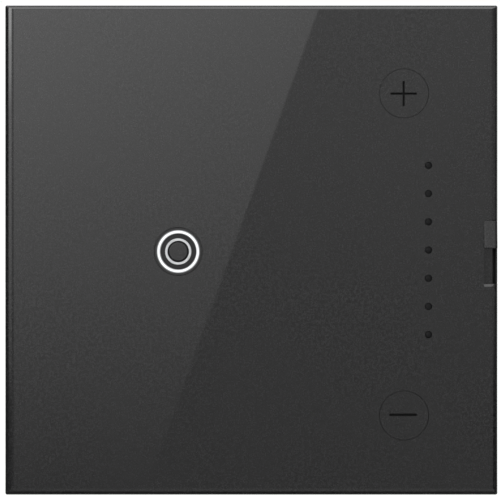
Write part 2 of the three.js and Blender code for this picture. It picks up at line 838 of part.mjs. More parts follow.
// numbered from the upper left, row by row
[[-1, 1], [1, 1], [-1, -1], [1, -1]].forEach(([sideX, sideZ], i) =>
  add(
    `housing_screw_${i + 1}`,
    housingScrew(),
    steel,
    onFace([sideX * SCREW_X, sideZ * SCREW_Z]),
  ),
);

// ---------------------------------------------------------------- wiring terminals
// Plate with a tongue that runs forward to tongueFront.
const terminalPlate = (tongueFront) =>
  cut(
    join(
      box([16.5, 17.5], [17.2, 28.6], [-4.3, 4.3]),
      box([16.5, 17.6], [17.2, 19.6], [-4.3, 4.3]), // land that the wire lies on
      box([16.5, 17.5], [tongueFront, 17.4], [-1.5, 1.5]),
      box([16.5, 19.2], [28, 28.8], [-2.2, 2.2]), // lip at the rear
    ),
    cylinderX(1.85, [10, 20], 12, TERMINAL_Y, 0),
  );

// Drawn along Y with its head at Y = 0.
const terminalScrew = () =>
  cut(
    turned(
      [
        [0, -6],
        [1.4, -6],
        [1.7, -5.6],
        [1.7, -2.2],
        [3.6, -2.2],
        [3.6, -0.5],
        [3.1, 0],
        [0, 0],
      ],
      14,
    ),
    box([-4, 4], [-0.9, 1], [-0.42, 0.42]),
    box([-0.42, 0.42], [-1.1, 1], [-2, 2]),
  );

// [name, side in x, side in z, screw, plate, front of the tongue]
for (const [name, sideX, sideZ, screwMaterial, plateMaterial, tongueFront] of [
  ["line", -1, 1, brass, brass, 11.4],
  ["load", -1, -1, brass, brass, 11.4],
  ["neutral", 1, 1, nickel, nickel, 11.4],
  ["ground", 1, -1, groundGreen, steel, 0.2],
]) {
  const parent = sideGroup(sideX, sideZ * BAY_Z);
  add(`${name}_terminal_plate`, terminalPlate(tongueFront), plateMaterial, { parent });
  add(`${name}_terminal_screw`, terminalScrew(), screwMaterial, {
    parent,
    at: [21.5, TERMINAL_Y, 0],
    turn: [0, 0, -Math.PI / 2],
  });
}

// ---------------------------------------------------------------- mounting clips
// Spring clip that holds the module in its support frame, beside the housing.
const mountClip = () =>
  cut(
    prismZ(
      [
        [23.2, 0.1],
        [30, 0.1],
        [30.3, 0.4],
        [30.3, 7.4],
        [32.7, 4.6],
        [33.1, 4.95],
        [30.5, 8.4],
        [29.9, 8.4],
        [29.7, 8.1],
        [29.7, 0.7],
        [23.2, 0.7],
      ],
      [-5, 5],
    ),
    cylinderY(1.3, [-1, 2], 10, YOKE_SIDE_X), // rivet hole
    box([29, 30.9], [2, 6.2], [-1.6, 1.6]), // window
  );
add("left_mount_clip", mountClip(), steel, { parent: sideGroup(-1) });
add("right_mount_clip", mountClip(), steel, { parent: sideGroup(1) });

export default dimmer;
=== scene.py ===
"""Touch-face wall dimmer module: the detailed looks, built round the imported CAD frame.

Shapes are drawn in millimetres. Seen from the front, X runs right and Z up. Y runs from front to
back, with Y = 0 on the mounting plane, so the face lies at negative Y and the housing at positive
Y. place() moves each finished shape into the frame's metres."""

import math

import bmesh
import bpy
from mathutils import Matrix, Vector


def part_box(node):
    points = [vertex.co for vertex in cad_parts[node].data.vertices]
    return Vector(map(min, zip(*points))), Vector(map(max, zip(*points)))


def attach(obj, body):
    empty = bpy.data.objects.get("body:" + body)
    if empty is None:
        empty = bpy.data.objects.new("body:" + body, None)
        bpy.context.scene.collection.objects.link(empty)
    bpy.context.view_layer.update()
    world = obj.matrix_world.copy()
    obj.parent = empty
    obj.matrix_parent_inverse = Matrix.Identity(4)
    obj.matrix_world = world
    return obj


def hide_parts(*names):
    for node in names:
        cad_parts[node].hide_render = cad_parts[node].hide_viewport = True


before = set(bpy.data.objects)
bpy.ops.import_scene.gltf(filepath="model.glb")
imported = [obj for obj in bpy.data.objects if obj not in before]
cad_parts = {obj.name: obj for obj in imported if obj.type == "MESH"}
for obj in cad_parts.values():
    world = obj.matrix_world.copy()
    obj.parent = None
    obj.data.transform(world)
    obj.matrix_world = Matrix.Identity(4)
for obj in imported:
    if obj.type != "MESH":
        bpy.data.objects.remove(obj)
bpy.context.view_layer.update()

MM = 0.001
SIDES = (-1, 1)
scene = bpy.context.scene


# ------------------------------------------------------------------ places read from the frame
def corners(node):
    """Low and high corner of a CAD node in mm, with Y still as in the frame."""
    low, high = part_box(node)
    return Vector(low) / MM, Vector(high) / MM


SEAT_Y = corners("bezel_frame")[1].y  # the mounting plane in the frame, in mm


def centre(node):
    low, high = corners(node)
    middle = (low + high) / 2
    return middle.x, middle.y - SEAT_Y, middle.z


FRONT = corners("face_plate")[0].y - SEAT_Y  # front of the face
FACE_WIDTH = corners("face_plate")[1].x * 2
FACE_HEIGHT = corners("face_plate")[1].z * 2
POWER_X, _, POWER_Z = centre("power_key")
RING_X, _, RING_Z = centre("power_light_ring")
PLUS_X, _, PLUS_Z = centre("plus_key")
MINUS_X, _, MINUS_Z = centre("minus_key")
LEVEL_X = centre("level_led_1")[0]
LEVEL_Z = [centre(f"level_led_{i}")[2] for i in range(1, 8)]
TAB_FRONT = corners("air_gap_slider")[0].y - SEAT_Y  # the tab's proud lower lip
TAB_RIGHT = corners("air_gap_slider")[1].x
HOUSING_BACK = corners("rear_housing")[1].y - SEAT_Y
SCREWS = [centre(f"housing_screw_{i}")[::2] for i in range(1, 5)]  # (x, z)


# ------------------------------------------------------------------ outlines and bodies
def sin_deg(angle):
    return math.sin(math.radians(angle))


def cos_deg(angle):
    return math.cos(math.radians(angle))


def span(side, near, far):
    """The two ends of a range given by distance from the middle, lowest first."""
    return sorted((side * near, side * far))


def rounded_rect(width, height, radius, count, x=0.0, z=0.0):
    """Outline with count segments in each corner."""
    points = []
    half_x, half_z = width / 2 - radius, height / 2 - radius
    for quarter, (sx, sz) in enumerate(((1, -1), (1, 1), (-1, 1), (-1, -1))):
        for i in range(count + 1):
            angle = -90 + 90 * quarter + 90 * i / count
            points.append(
                (x + sx * half_x + radius * cos_deg(angle),
                 z + sz * half_z + radius * sin_deg(angle))
            )
    return points


def circle(radius, count, x, z):
    turns = [2 * math.pi * i / count for i in range(count)]
    return [(x + radius * math.cos(turn), z + radius * math.sin(turn)) for turn in turns]


def upright_slot(x, y, width, length, count=6):
    """Outline in X and Y of a slot with round ends, long in Y."""
    points = []
    for half, side in enumerate((1, -1)):
        for i in range(count + 1):
            angle = 180 * half + 180 * i / count
            points.append(
                (x + width / 2 * cos_deg(angle),
                 y + side * (length / 2 - width / 2) + width / 2 * sin_deg(angle))
            )
    return points


def skin(loops, closed=False):
    """Closed body through loops of 3-D points that all have the same count. It has end caps
    unless closed joins the last loop to the first."""
    bm = bmesh.new()
    rings = [[bm.verts.new(point) for point in loop] for loop in loops]
    count = len(rings[0])
    pairs = list(zip(rings, rings[1:]))
    if closed:
        pairs.append((rings[-1], rings[0]))
    for first, second in pairs:
        for i in range(count):
            j = (i + 1) % count
            bm.faces.new((first[i], first[j], second[j], second[i]))
    if not closed:
        bm.faces.new(rings[0])
        bm.faces.new(rings[-1])
    bmesh.ops.recalc_face_normals(bm, faces=bm.faces)
    return bm


def at_y(outline, y):
    """Lays an outline of (x, z) points at height y."""
    return [(x, y, z) for x, z in outline]


def prism(outline, y0, y1):
    """Outline of (x, z) points pulled along Y."""
    return skin([at_y(outline, y0), at_y(outline, y1)])


def prism_z(outline, z0, z1):
    """Outline of (x, y) points pulled along Z."""
    return skin([[(x, y, z) for x, y in outline] for z in (z0, z1)])


def prism_x(outline, x0, x1):
    """Outline of (y, z) points pulled along X."""
    return skin([[(x, y, z) for y, z in outline] for x in (x0, x1)])


def stack(width, height, radius, section, count):
    """Rounded rectangle whose edge follows section, a list of (inset, y)."""
    return skin([
        at_y(rounded_rect(width - 2 * inset, height - 2 * inset, max(radius - inset, 0.04), count),
             y)
        for inset, y in section
    ])


def block(x0, x1, y0, y1, z0, z1):
    return prism([(x0, z0), (x1, z0), (x1, z1), (x0, z1)], y0, y1)


def window(area, y0, y1):
    """Block over an area given as (x0, x1, z0, z1)."""
    x0, x1, z0, z1 = area
    return block(x0, x1, y0, y1, z0, z1)


def rod(radius, y0, y1, x, z, count):
    return prism(circle(radius, count, x, z), y0, y1)


def rod_x(radius, x0, x1, y, z, count):
    return prism_x(circle(radius, count, y, z), x0, x1)


def turned(profile, count, x, z, y=0.0, side=0):
    """Body of revolution from (radius, height) points. A profile that starts and ends on the axis
    closes there, and any other closes on itself. The axis is Y, or X when side is 1 or -1, with
    heights then counted towards that side."""
    bm = bmesh.new()
    on_axis = profile[0][0] < 1e-9 and profile[-1][0] < 1e-9
    rings = []
    for radius, height in profile:
        if radius < 1e-9:
            rings.append([bm.verts.new((0, height, 0))])
        else:
            rings.append([bm.verts.new(p) for p in at_y(circle(radius, count, 0, 0), height)])
    pairs = list(zip(rings, rings[1:]))
    if not on_axis:
        pairs.append((rings[-1], rings[0]))
    for first, second in pairs:
        for i in range(count):
            j = (i + 1) % count
            if len(first) == 1:
                bm.faces.new((first[0], second[j], second[i]))
            elif len(second) == 1:
                bm.faces.new((first[i], first[j], second[0]))
            else:
                bm.faces.new((first[i], first[j], second[j], second[i]))
    for vert in bm.verts:
        point = vert.co.copy()
        if side:
            point = Vector((side * point.y, point.x, point.z))
        vert.co = point + Vector((x, y, z))
    bmesh.ops.recalc_face_normals(bm, faces=bm.faces)
    return bm


# ------------------------------------------------------------------ objects
def made(name, *bodies):
    """One mesh object from one or more bodies."""
    bm = bmesh.new()
    for body in bodies:
        mesh = bpy.data.meshes.new("part")
        body.to_mesh(mesh)
        body.free()
        bm.from_mesh(mesh)
        bpy.data.meshes.remove(mesh)
    mesh = bpy.data.meshes.new(name)
    bm.to_mesh(mesh)
    bm.free()
    part = bpy.data.objects.new(name, mesh)
    scene.collection.objects.link(part)
    return part


def settle(part):
    """Applies the object's modifiers."""
    bpy.context.view_layer.update()
    graph = bpy.context.evaluated_depsgraph_get()
    mesh = bpy.data.meshes.new_from_object(part.evaluated_get(graph))
    part.modifiers.clear()
    old = part.data
    part.data = mesh
    bpy.data.meshes.remove(old)


def boolean(part, bodies, operation="DIFFERENCE"):
    """Cuts (or joins) closed bodies. Bodies in one call must not overlap each other."""
    tool = made("tool", *bodies)
    modifier = part.modifiers.new("b", "BOOLEAN")
    modifier.operation, modifier.solver, modifier.object = operation, "EXACT", tool
    settle(part)
    bpy.data.objects.remove(tool, do_unlink=True)


def add_bevel(part, width, angle):
    bevel = part.modifiers.new("edge", "BEVEL")
    bevel.width, bevel.segments = width, 2
    bevel.limit_method, bevel.angle_limit = "ANGLE", math.radians(angle)
    bevel.use_clamp_overlap = True
    return bevel


def smooth_faces(part):
    for face in part.data.polygons:
        face.use_smooth = True


def soften(part, angle, width=0.0):
    """Smooths the shading but for edges sharper than angle, which a width rounds first."""
    smooth_faces(part)
    if width:
        add_bevel(part, width, angle).loop_slide = True
        settle(part)
        smooth_faces(part)
    part.data.set_sharp_from_angle(angle=math.radians(angle))
    weighted = part.modifiers.new("weighted", "WEIGHTED_NORMAL")
    weighted.keep_sharp = True
    weighted.weight = 60
    settle(part)


def place(part, node, slot, *looks, body="module", paint=None):
    """Moves a finished mesh into the frame, gives it its materials, hangs it under its body and
    hides the CAD node it stands for. paint takes a face's centre and normal (in mm) and gives the
    number of its material."""
    part.data.materials.clear()
    for look in looks:
        part.data.materials.append(LOOKS[look])
    if paint:
        for face in part.data.polygons:
            face.material_index = int(paint(face.center, face.normal))
    for vert in part.data.vertices:
        vert.co = Vector((vert.co.x, vert.co.y + SEAT_Y, vert.co.z)) * MM
    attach(part, body)
    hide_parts(node)


# ------------------------------------------------------------------ node tools
class Tree:
    """Short hand for a node tree. Any value may be a number, a colour or another node's socket."""

    def __init__(self, tree):
        self.tree = tree
        self.bsdf = tree.nodes.get("Principled BSDF")

    def put(self, socket, value):
        if isinstance(value, bpy.types.NodeSocket):
            self.tree.links.new(value, socket)
        else:
            socket.default_value = value

    def surface(self, values):
        """Sets or links inputs of the Principled shader."""
        for key, value in values.items():
            self.put(self.bsdf.inputs[key], value)

    def add(self, kind, inputs=None, **props):
        node = self.tree.nodes.new(kind)
        for key, value in props.items():
            setattr(node, key, value)
        for key, value in (inputs or {}).items():
            self.put(node.inputs[key], value)
        return node

    def math(self, operation, first, second=0.0):
        node = self.add("ShaderNodeMath", operation=operation)
        for socket, value in zip(node.inputs, (first, second, 0.0)):
            self.put(socket, value)
        return node.outputs[0]

    def plus(self, first, second):
        return self.math("ADD", first, second)

    def minus(self, first, second):
        return self.math("SUBTRACT", first, second)

    def mul(self, first, second):
        return self.math("MULTIPLY", first, second)

    def smooth(self, value, lo, hi):
        """Rises from 0 at lo to 1 at hi."""
        inputs = {"Value": value, "From Min": lo, "From Max": hi}
        node = self.add("ShaderNodeMapRange", inputs, interpolation_type="SMOOTHSTEP")
        return node.outputs["Result"]

    def fall(self, value, lo, hi):
        """Falls from 1 at lo to 0 at hi."""
        return self.minus(1.0, self.smooth(value, lo, hi))

    def remap(self, value, source, to):
        """Carries the range source over to the range to."""
        inputs = {"Value": value, "From Min": source[0], "From Max": source[1],
                  "To Min": to[0], "To Max": to[1]}
        return self.add("ShaderNodeMapRange", inputs).outputs["Result"]

    def mix(self, factor, first, second):
        """Colour mix."""
        inputs = {0: factor, 6: first, 7: second}
        return self.add("ShaderNodeMix", inputs, data_type="RGBA").outputs[2]

    def mix_value(self, factor, first, second):
        inputs = {0: factor, 2: first, 3: second}
        return self.add("ShaderNodeMix", inputs, data_type="FLOAT").outputs[0]

    def object_coords(self):
        return self.add("ShaderNodeTexCoord").outputs["Object"]

    def coords(self, scale=(1.0, 1.0, 1.0)):
        """Object coordinates in millimetres, times scale."""
        inputs = {"Vector": self.object_coords(), "Scale": tuple(1000.0 * s for s in scale)}
        return self.add("ShaderNodeMapping", inputs).outputs[0]

    def noise(self, vector, scale, detail, rough, distortion=0.0):
        inputs = {"Vector": vector, "Scale": scale, "Detail": detail, "Roughness": rough,
                  "Distortion": distortion}
        return self.add("ShaderNodeTexNoise", inputs).outputs[0]

    def cells(self, vector, scale):
        """Voronoi cells: the node and its random colour split in three."""
        node = self.add("ShaderNodeTexVoronoi", {"Vector": vector, "Scale": scale}, feature="F1")
        split = self.add("ShaderNodeSeparateColor", {"Color": node.outputs["Color"]})
        return node, split.outputs

    def bump(self, height, strength, depth):
        """Relief on the Principled shader, depth in mm."""
        inputs = {"Strength": strength, "Distance": depth * MM, "Height": height}
        self.surface({"Normal": self.add("ShaderNodeBump", inputs).outputs[0]})


def rgba(color):
    return (*color, 1.0)


def tint(color, factor):
    return rgba([min(value * factor, 1.0) for value in color])


def new_material(name):
    material = bpy.data.materials.new(name)
    material.use_nodes = True
    return material, Tree(material.node_tree)


def edge_mask(tree, radius):
    """1 on rounded outer edges, 0 on flat faces."""
    rounded = tree.add("ShaderNodeBevel", {"Radius": radius * MM}, samples=4)
    flat = tree.add("ShaderNodeNewGeometry")
    dot = tree.add(
        "ShaderNodeVectorMath",
        {0: rounded.outputs[0], 1: flat.outputs["Normal"]},
        operation="DOT_PRODUCT",
    )
    return tree.smooth(tree.minus(1.0, dot.outputs["Value"]), lo=0.02, hi=0.25)


# ------------------------------------------------------------------ kinds of material
def plastic(name, color, rough, var=0.10, grain=0.5, grain_scale=9.0, grain_depth=0.006,
            wear=0.25, spec=0.5, coat=0.0, specks=0.0):
    """Moulded plastic: slow colour drift (var), a grained surface, rubbed edges (wear) and a
    little dust (specks)."""
    rough_spread = 0.08
    material, tree = new_material(name)
    where = tree.coords()
    drift = tree.noise(where, scale=0.25, detail=4.0, rough=0.6)
    base = tree.mix(drift, tint(color, 1 - var), tint(color, 1 + var))
    if specks:
        _, random = tree.cells(where, scale=5.0)
        dust = tree.mul(tree.smooth(random[0], lo=0.93, hi=0.99), specks)
        base = tree.mix(dust, base, tint(color, 1.9))
    if wear:
        patches = tree.noise(where, scale=0.8, detail=4.0, rough=0.7)
        rubbed = tree.mul(edge_mask(tree, radius=0.12), tree.smooth(patches, lo=0.42, hi=0.7))
        worn_color = tint([value + 0.02 for value in color], 1.8)
        base = tree.mix(tree.mul(rubbed, wear), base, worn_color)
    handling = tree.noise(where, scale=0.9, detail=5.0, rough=0.6)
    rough_range = (max(rough - rough_spread, 0.02), min(rough + rough_spread, 1.0))
    tree.surface({
        "Base Color": base,
        "Roughness": tree.remap(handling, source=(0.3, 0.7), to=rough_range),
        "Specular IOR Level": spec,
        "Coat Weight": coat,
        "Coat Roughness": 0.05,
    })
    height = tree.noise(where, scale=grain_scale, detail=2.0, rough=0.6)
    tree.bump(height, strength=grain, depth=grain_depth)
    return material


def metal(name, color, rough, brush, relief, tarnish, tarnish_amount, wear=0.5, coat=0.0):
    """Metal: a surface brushed by the coordinate scale brush, patchy tarnish and bright rubbed
    edges."""
    var = 0.12  # slow colour drift
    material, tree = new_material(name)
    where = tree.coords()
    drift = tree.noise(where, scale=0.5, detail=5.0, rough=0.65)
    base = tree.mix(drift, tint(color, 1 - var), tint(color, 1 + var))
    patches = tree.noise(where, scale=0.9, detail=6.0, rough=0.7, distortion=0.6)
    oxide = tree.mul(tree.smooth(patches, lo=0.45, hi=0.72), tarnish_amount)
    base = tree.mix(oxide, base, rgba(tarnish))
    rubbed = tree.mul(edge_mask(tree, radius=0.1), wear)
    base = tree.mix(rubbed, base, tint(color, 1.35))
    lines = tree.noise(tree.coords(brush), scale=1.0, detail=3.0, rough=0.6)
    rough_range = (max(rough - 0.1, 0.05), min(rough + 0.14, 1.0))
    tree.surface({
        "Base Color": base,
        "Metallic": 0.8,
        "Roughness": tree.remap(lines, source=(0.25, 0.75), to=rough_range),
        "Coat Weight": coat,
    })
    tree.bump(lines, strength=relief, depth=0.0025)
    return material


def graphite(name, depth, coat):
    """Graphite-filled, clear-coated face: near-black base with fine metallic flakes under a
    polished coat. depth scales the base colour."""
    material, tree = new_material(name)
    where = tree.coords()
    base_color = (0.0082 * depth, 0.0082 * depth, 0.0084 * depth)
    slow = tree.noise(where, scale=0.06, detail=3.0, rough=0.5)
    mottle = tree.noise(where, scale=2.2, detail=5.0, rough=0.75)
    base = tree.mix(
        tree.smooth(mottle, lo=0.36, hi=0.66), tint(base_color, 0.2), tint(base_color, 1.75)
    )
    base = tree.mix(tree.smooth(slow, lo=0.3, hi=0.7), base, rgba(base_color))
    flake, random = tree.cells(where, scale=5.6)
    # a flake is smaller than its cell
    near = tree.fall(flake.outputs["Distance"], lo=0.2, hi=0.6)
    mask = tree.mul(tree.smooth(random[0], lo=0.45, hi=1.0), near)
    flake_mix, flake_color, flake_metallic = 0.7, (0.030, 0.030, 0.031), 0.5
    base = tree.mix(tree.mul(mask, flake_mix), base, rgba(flake_color))
    # handling marks: the faintest haze in the polish
    haze = tree.noise(where, scale=0.09, detail=5.0, rough=0.65)
    tree.surface({
        "Base Color": base,
        "Metallic": tree.mul(mask, flake_metallic),
        "Roughness": tree.remap(random[1], source=(0.0, 1.0), to=(0.36, 0.58)),
        "Specular IOR Level": 0.05,
        "Coat Weight": coat,
        "Coat IOR": 1.5,
        "Coat Roughness": tree.remap(haze, source=(0.35, 0.7), to=(0.005, 0.009)),
    })
    # each flake leans its own way
    lean = tree.noise(where, scale=5.0, detail=2.0, rough=0.6)
    tree.bump(lean, strength=0.2, depth=0.01)
    return material


def lit(name, color, strength, shade, rough=0.3, glow_radius=None):
    """Translucent guide with light coming through it, or painted light on a part no lamp lights; a
    little uneven round its length. shade darkens its unlit colour. With glow_radius the light is
    brightest at that distance from the light ring's axis and fades to both sides."""
    material, tree = new_material(name)
    where = tree.coords()
    uneven = tree.noise(where, scale=0.7, detail=3.0, rough=0.6)
    base = tree.mix(uneven, tint(color, 0.92 * shade), tint(color, shade))
    emission = tree.mix(uneven, tint(color, 0.88), rgba(color))
    if glow_radius:
        x, _, z = tree.add("ShaderNodeSeparateXYZ", {"Vector": where}).outputs
        off_x = tree.minus(x, RING_X)
        off_z = tree.minus(z, RING_Z)
        radius = tree.math("SQRT", tree.plus(tree.mul(off_x, off_x), tree.mul(off_z, off_z)))
        off = tree.math("ABSOLUTE", tree.minus(radius, glow_radius))
        glow = tree.fall(off, lo=0.08, hi=0.25)
        strength = tree.remap(glow, source=(0.0, 1.0), to=(0.06 * strength, strength))
    tree.surface({
        "Base Color": base,
        "Roughness": rough,
        "Emission Color": emission,
        "Emission Strength": strength,
        "Subsurface Weight": 0.15,
        "Subsurface Radius": (0.4 * MM, 0.4 * MM, 0.4 * MM),
    })
    return material


def board_material():
    """Solder mask over glass weave, with copper tracks showing as lighter green lines."""
    green, track_green, track_mix = (0.012, 0.075, 0.03), (0.03, 0.15, 0.05), 0.5
    material, tree = new_material("solder_mask")
    where = tree.coords()
    bands = [
        tree.add("ShaderNodeTexWave", {"Vector": where, "Scale": 0.5},
                 wave_type="BANDS", bands_direction=direction).outputs[1]
        for direction in ("X", "Z")
    ]
    base = tree.mix(tree.mul(*bands), tint(green, 0.85), tint(green, 1.1))
    brick = {"Vector": where, "Scale": 0.16, "Mortar Size": 0.05}
    tracks = tree.add("ShaderNodeTexBrick", brick).outputs[1]
    base = tree.mix(tree.mul(tracks, track_mix), base, rgba(track_green))
    tree.surface({"Base Color": base, "Roughness": 0.32, "Coat Weight": 0.4})
    tree.bump(tracks, strength=0.3, depth=0.02)
    return material


def fuse_material():
    """Clear glass tube with metal caps at its two ends along X."""
    glass, cap_metal, glass_transmission = (0.8, 0.86, 0.86), (0.62, 0.61, 0.58), 0.6
    material, tree = new_material("fuse_body")
    x = tree.add("ShaderNodeSeparateXYZ", {"Vector": tree.object_coords()}).outputs[0]
    off = tree.math("ABSOLUTE", tree.minus(x, centre("fuse")[0] * MM))
    cap = tree.smooth(off, lo=3.3 * MM, hi=3.45 * MM)
    tree.surface({
        "Base Color": tree.mix(cap, rgba(glass), rgba(cap_metal)),
        "Metallic": cap,
        "Roughness": tree.mix_value(cap, first=0.06, second=0.28),
        "Transmission Weight": tree.mul(tree.minus(1.0, cap), glass_transmission),
    })
    return material


EVEN = (3.0, 3.0, 3.0)  # brush scale of an unbrushed metal

LOOKS = {
    "graphite": graphite("graphite_gloss", depth=1.0, coat=1.0),
    "slide": graphite("graphite_slide", depth=0.8, coat=0.74),
    "bezel": plastic("bezel_black", (0.012, 0.012, 0.0125), rough=0.5, grain=0.6,
                     grain_scale=7.0, grain_depth=0.012, wear=0.35),
    "housing": plastic("housing_dark", (0.028, 0.028, 0.030), rough=0.52, grain=0.75,
                       grain_scale=6.0, grain_depth=0.016, wear=0.5, specks=0.35),
    # near-black fill of the keys' sunk signs, also painted shade on the keys' rounded edges and on
    # the slot's outer rim
    "ink_and_painted_shade": plastic("stroke_fill_and_painted_shade", (0.003, 0.003, 0.003), rough=0.6, grain=0.3, wear=0.0,
                   spec=0.12),
    # land: matt near-black, used only as painted shade on the slot floor by the rim, the key
    # holes' lips, the seam round the light ring and the power key's recessed land
    "land": plastic("matt_painted_shade", (0.009, 0.009, 0.0092), rough=0.5, grain=0.4, wear=0.0,
                    spec=0.32),
    "ring": lit("ring_light", (0.97, 0.985, 1.0), strength=0.95, shade=0.18, glow_radius=2.69),
    # inlay: grey inner ring with no lamp behind it; its small emission is painted light that
    # brightens it
    "inlay": lit("ring_inlay_painted_glow", (0.62, 0.63, 0.64), strength=0.13, rough=0.35, shade=0.74),
    "smoked": plastic("smoked_lens", (0.002, 0.002, 0.0024), rough=0.3, grain=0.1, wear=0.0,
                      spec=0.22),
    "nylon": plastic("natural_nylon", (0.62, 0.58, 0.47), rough=0.42, grain=0.3, wear=0.1),
    "board": board_material(),
    "aluminium": metal("rolled_aluminium", (0.60, 0.61, 0.62), rough=0.32,
                       brush=(0.15, 3.0, 9.0), relief=0.5, tarnish=(0.42, 0.42, 0.43),
                       tarnish_amount=0.35),
    "zinc": metal("zinc_passivated", (0.62, 0.62, 0.60), rough=0.24, brush=EVEN, relief=0.3,
                  tarnish=(0.55, 0.50, 0.36), tarnish_amount=0.4),
    "spring": metal("spring_steel", (0.52, 0.52, 0.53), rough=0.26, brush=(8.0, 8.0, 0.4),
                    relief=0.4, tarnish=(0.30, 0.27, 0.24), tarnish_amount=0.3),
    "brass": metal("brass", (0.72, 0.50, 0.20), rough=0.25, brush=EVEN, relief=0.3,
                   tarnish=(0.40, 0.24, 0.09), tarnish_amount=0.45),
    "copper": metal("enamelled_copper", (0.60, 0.24, 0.10), rough=0.3, brush=EVEN, relief=0.2,
                    tarnish=(0.42, 0.15, 0.06), tarnish_amount=0.5, coat=0.8),
    "nickel": metal("nickel_plate", (0.66, 0.64, 0.60), rough=0.2, brush=EVEN, relief=0.2,
                    tarnish=(0.45, 0.42, 0.36), tarnish_amount=0.3),
    "ground": metal("green_plate", (0.03, 0.26, 0.07), rough=0.3, brush=EVEN, relief=0.2,
                    tarnish=(0.02, 0.12, 0.04), tarnish_amount=0.6, wear=0.7, coat=0.3),
    "chip": plastic("moulded_epoxy", (0.012, 0.012, 0.013), rough=0.5, grain=0.4,
                    grain_scale=12.0, wear=0.2),
    "led": lit("led_body", (0.85, 0.78, 0.55), strength=0.05, rough=0.4, shade=0.9),
    "ferrite": plastic("ferrite", (0.045, 0.046, 0.05), rough=0.6, grain=0.8,
                       grain_scale=10.0, grain_depth=0.02, wear=0.3),
    "film": plastic("film_box", (0.60, 0.36, 0.04), rough=0.35, grain=0.2, wear=0.2, coat=0.3),
    "sleeve": plastic("can_sleeve", (0.02, 0.04, 0.11), rough=0.28, grain=0.2, wear=0.1,
                      coat=0.5),
    "varistor": plastic("dipped_epoxy", (0.02, 0.12, 0.38), rough=0.32, grain=0.4,
                        grain_scale=2.0, grain_depth=0.03, wear=0.0, coat=0.6),
    "label": plastic("blank_label", (0.42, 0.43, 0.44), rough=0.34, var=0.05, grain=0.35,
                     grain_scale=14.0, wear=0.0),
    "fuse": fuse_material(),
}

# ------------------------------------------------------------------ face plate
SLOT_LEFT, SLOT_TOP, SLOT_BOTTOM = 31.85, 4.05, -4.62  # slot open to the plate's right side
SLOT_DEPTH, RIM_DEPTH = 1.0, 1.16
RAMP_DEPTH = 0.1055  # shallow ramp below the slot
KEY_RADIUS, KEY_HOLE = 3.335, 3.39
POWER_HOLE, LEVEL_HOLE = 3.0, 0.492
SEAM = (3.22, 3.33)  # inner and outer radius of the fine groove round the light ring
FINE_ROUND = (0, 22, 45, 68, 90)
ARM_X = 15  # middle of the snap arms, left and right

EDGE_RADIUS, EDGE_Y = 0.753, FRONT + 0.843  # round between the plate's side and front
# (inset, depth behind the front): shallow chamfer and slow blend into the flat
EDGE_BLEND = (
    (0.50, 0.1340), (0.74, 0.0483), (0.775, 0.0367), (0.81, 0.0268),
    (0.86, 0.0171), (0.95, 0.0078), (1.04, 0.0021), (1.14, 0.0),
)
# how much of the inset each edge of the plate takes; the bottom takes it all
LEFT_SHARE, RIGHT_SHARE, TOP_SHARE = 1.13, 0.86, 0.58

# (y, distance above or below the middle)
ARM_OUTLINE = (
    (FRONT + 1.6, 29.9), (FRONT + 1.6, 30.85), (-6.6, 30.85), (-6.4, 31.55),
    (-6.0, 31.55), (-5.1, 30.75), (-5.1, 29.9),
)


def mouth(radius, x, z, lip, count=128):
    """Cutter for a round hole in the face whose mouth has a small rounded lip."""
    points = [(0, FRONT - 1), (radius + lip, FRONT - 1)]
    points += [
        (radius + lip - lip * sin_deg(a), FRONT - 0.002 + lip - lip * cos_deg(a))
        for a in FINE_ROUND
    ]
    points += [(radius, FRONT + 3), (0, FRONT + 3)]
    return turned(points, count, x, z)


def face_shell():
    section = [(0.06, -4.7), (0.0, -4.76), (0.0, EDGE_Y)]
    section += [
        (EDGE_RADIUS - EDGE_RADIUS * sin_deg(a), EDGE_Y - EDGE_RADIUS * cos_deg(a))
        for a in range(84, 20, -8)
    ]
    section += [(inset, FRONT + depth) for inset, depth in EDGE_BLEND]
    loops = []
    for inset, y in section:
        outline = rounded_rect(
            FACE_WIDTH - (LEFT_SHARE + RIGHT_SHARE) * inset,
            FACE_HEIGHT - (1 + TOP_SHARE) * inset,
            max(0.26 - 0.2 * inset, 0.08),
            9,
            (LEFT_SHARE - RIGHT_SHARE) * inset / 2,
            (1 - TOP_SHARE) * inset / 2,
        )
        loops.append(at_y(outline, y))
    return skin(loops)


def slot_cutter():
    """Open to the side: the floor rolls over into the side wall."""
    floor_y, rim_y = FRONT + SLOT_DEPTH, FRONT + RIM_DEPTH
    outline = [(SLOT_LEFT, FRONT - 2), (SLOT_LEFT, floor_y), (33.06, floor_y)]
    outline += [
        (33.59 + 0.16 * sin_deg(a), rim_y - 0.16 * cos_deg(a)) for a in (0, 20, 40, 60, 75, 90)
    ]
    outline += [(34.5, rim_y), (34.5, FRONT - 2)]
    return prism_z(outline, SLOT_BOTTOM, SLOT_TOP)


def ramp_cutter():
    outline = [
        (FRONT - 2, SLOT_BOTTOM + 0.5),
        (FRONT + RAMP_DEPTH, SLOT_BOTTOM + 0.5),
        (FRONT + RAMP_DEPTH, SLOT_BOTTOM),
        (FRONT + RAMP_DEPTH * 0.96, SLOT_BOTTOM - 0.05),
        (FRONT, SLOT_BOTTOM - 0.40),
        (FRONT - 2, SLOT_BOTTOM - 0.40 - 6.0),
    ]
    return prism_x(outline, SLOT_LEFT, 40)


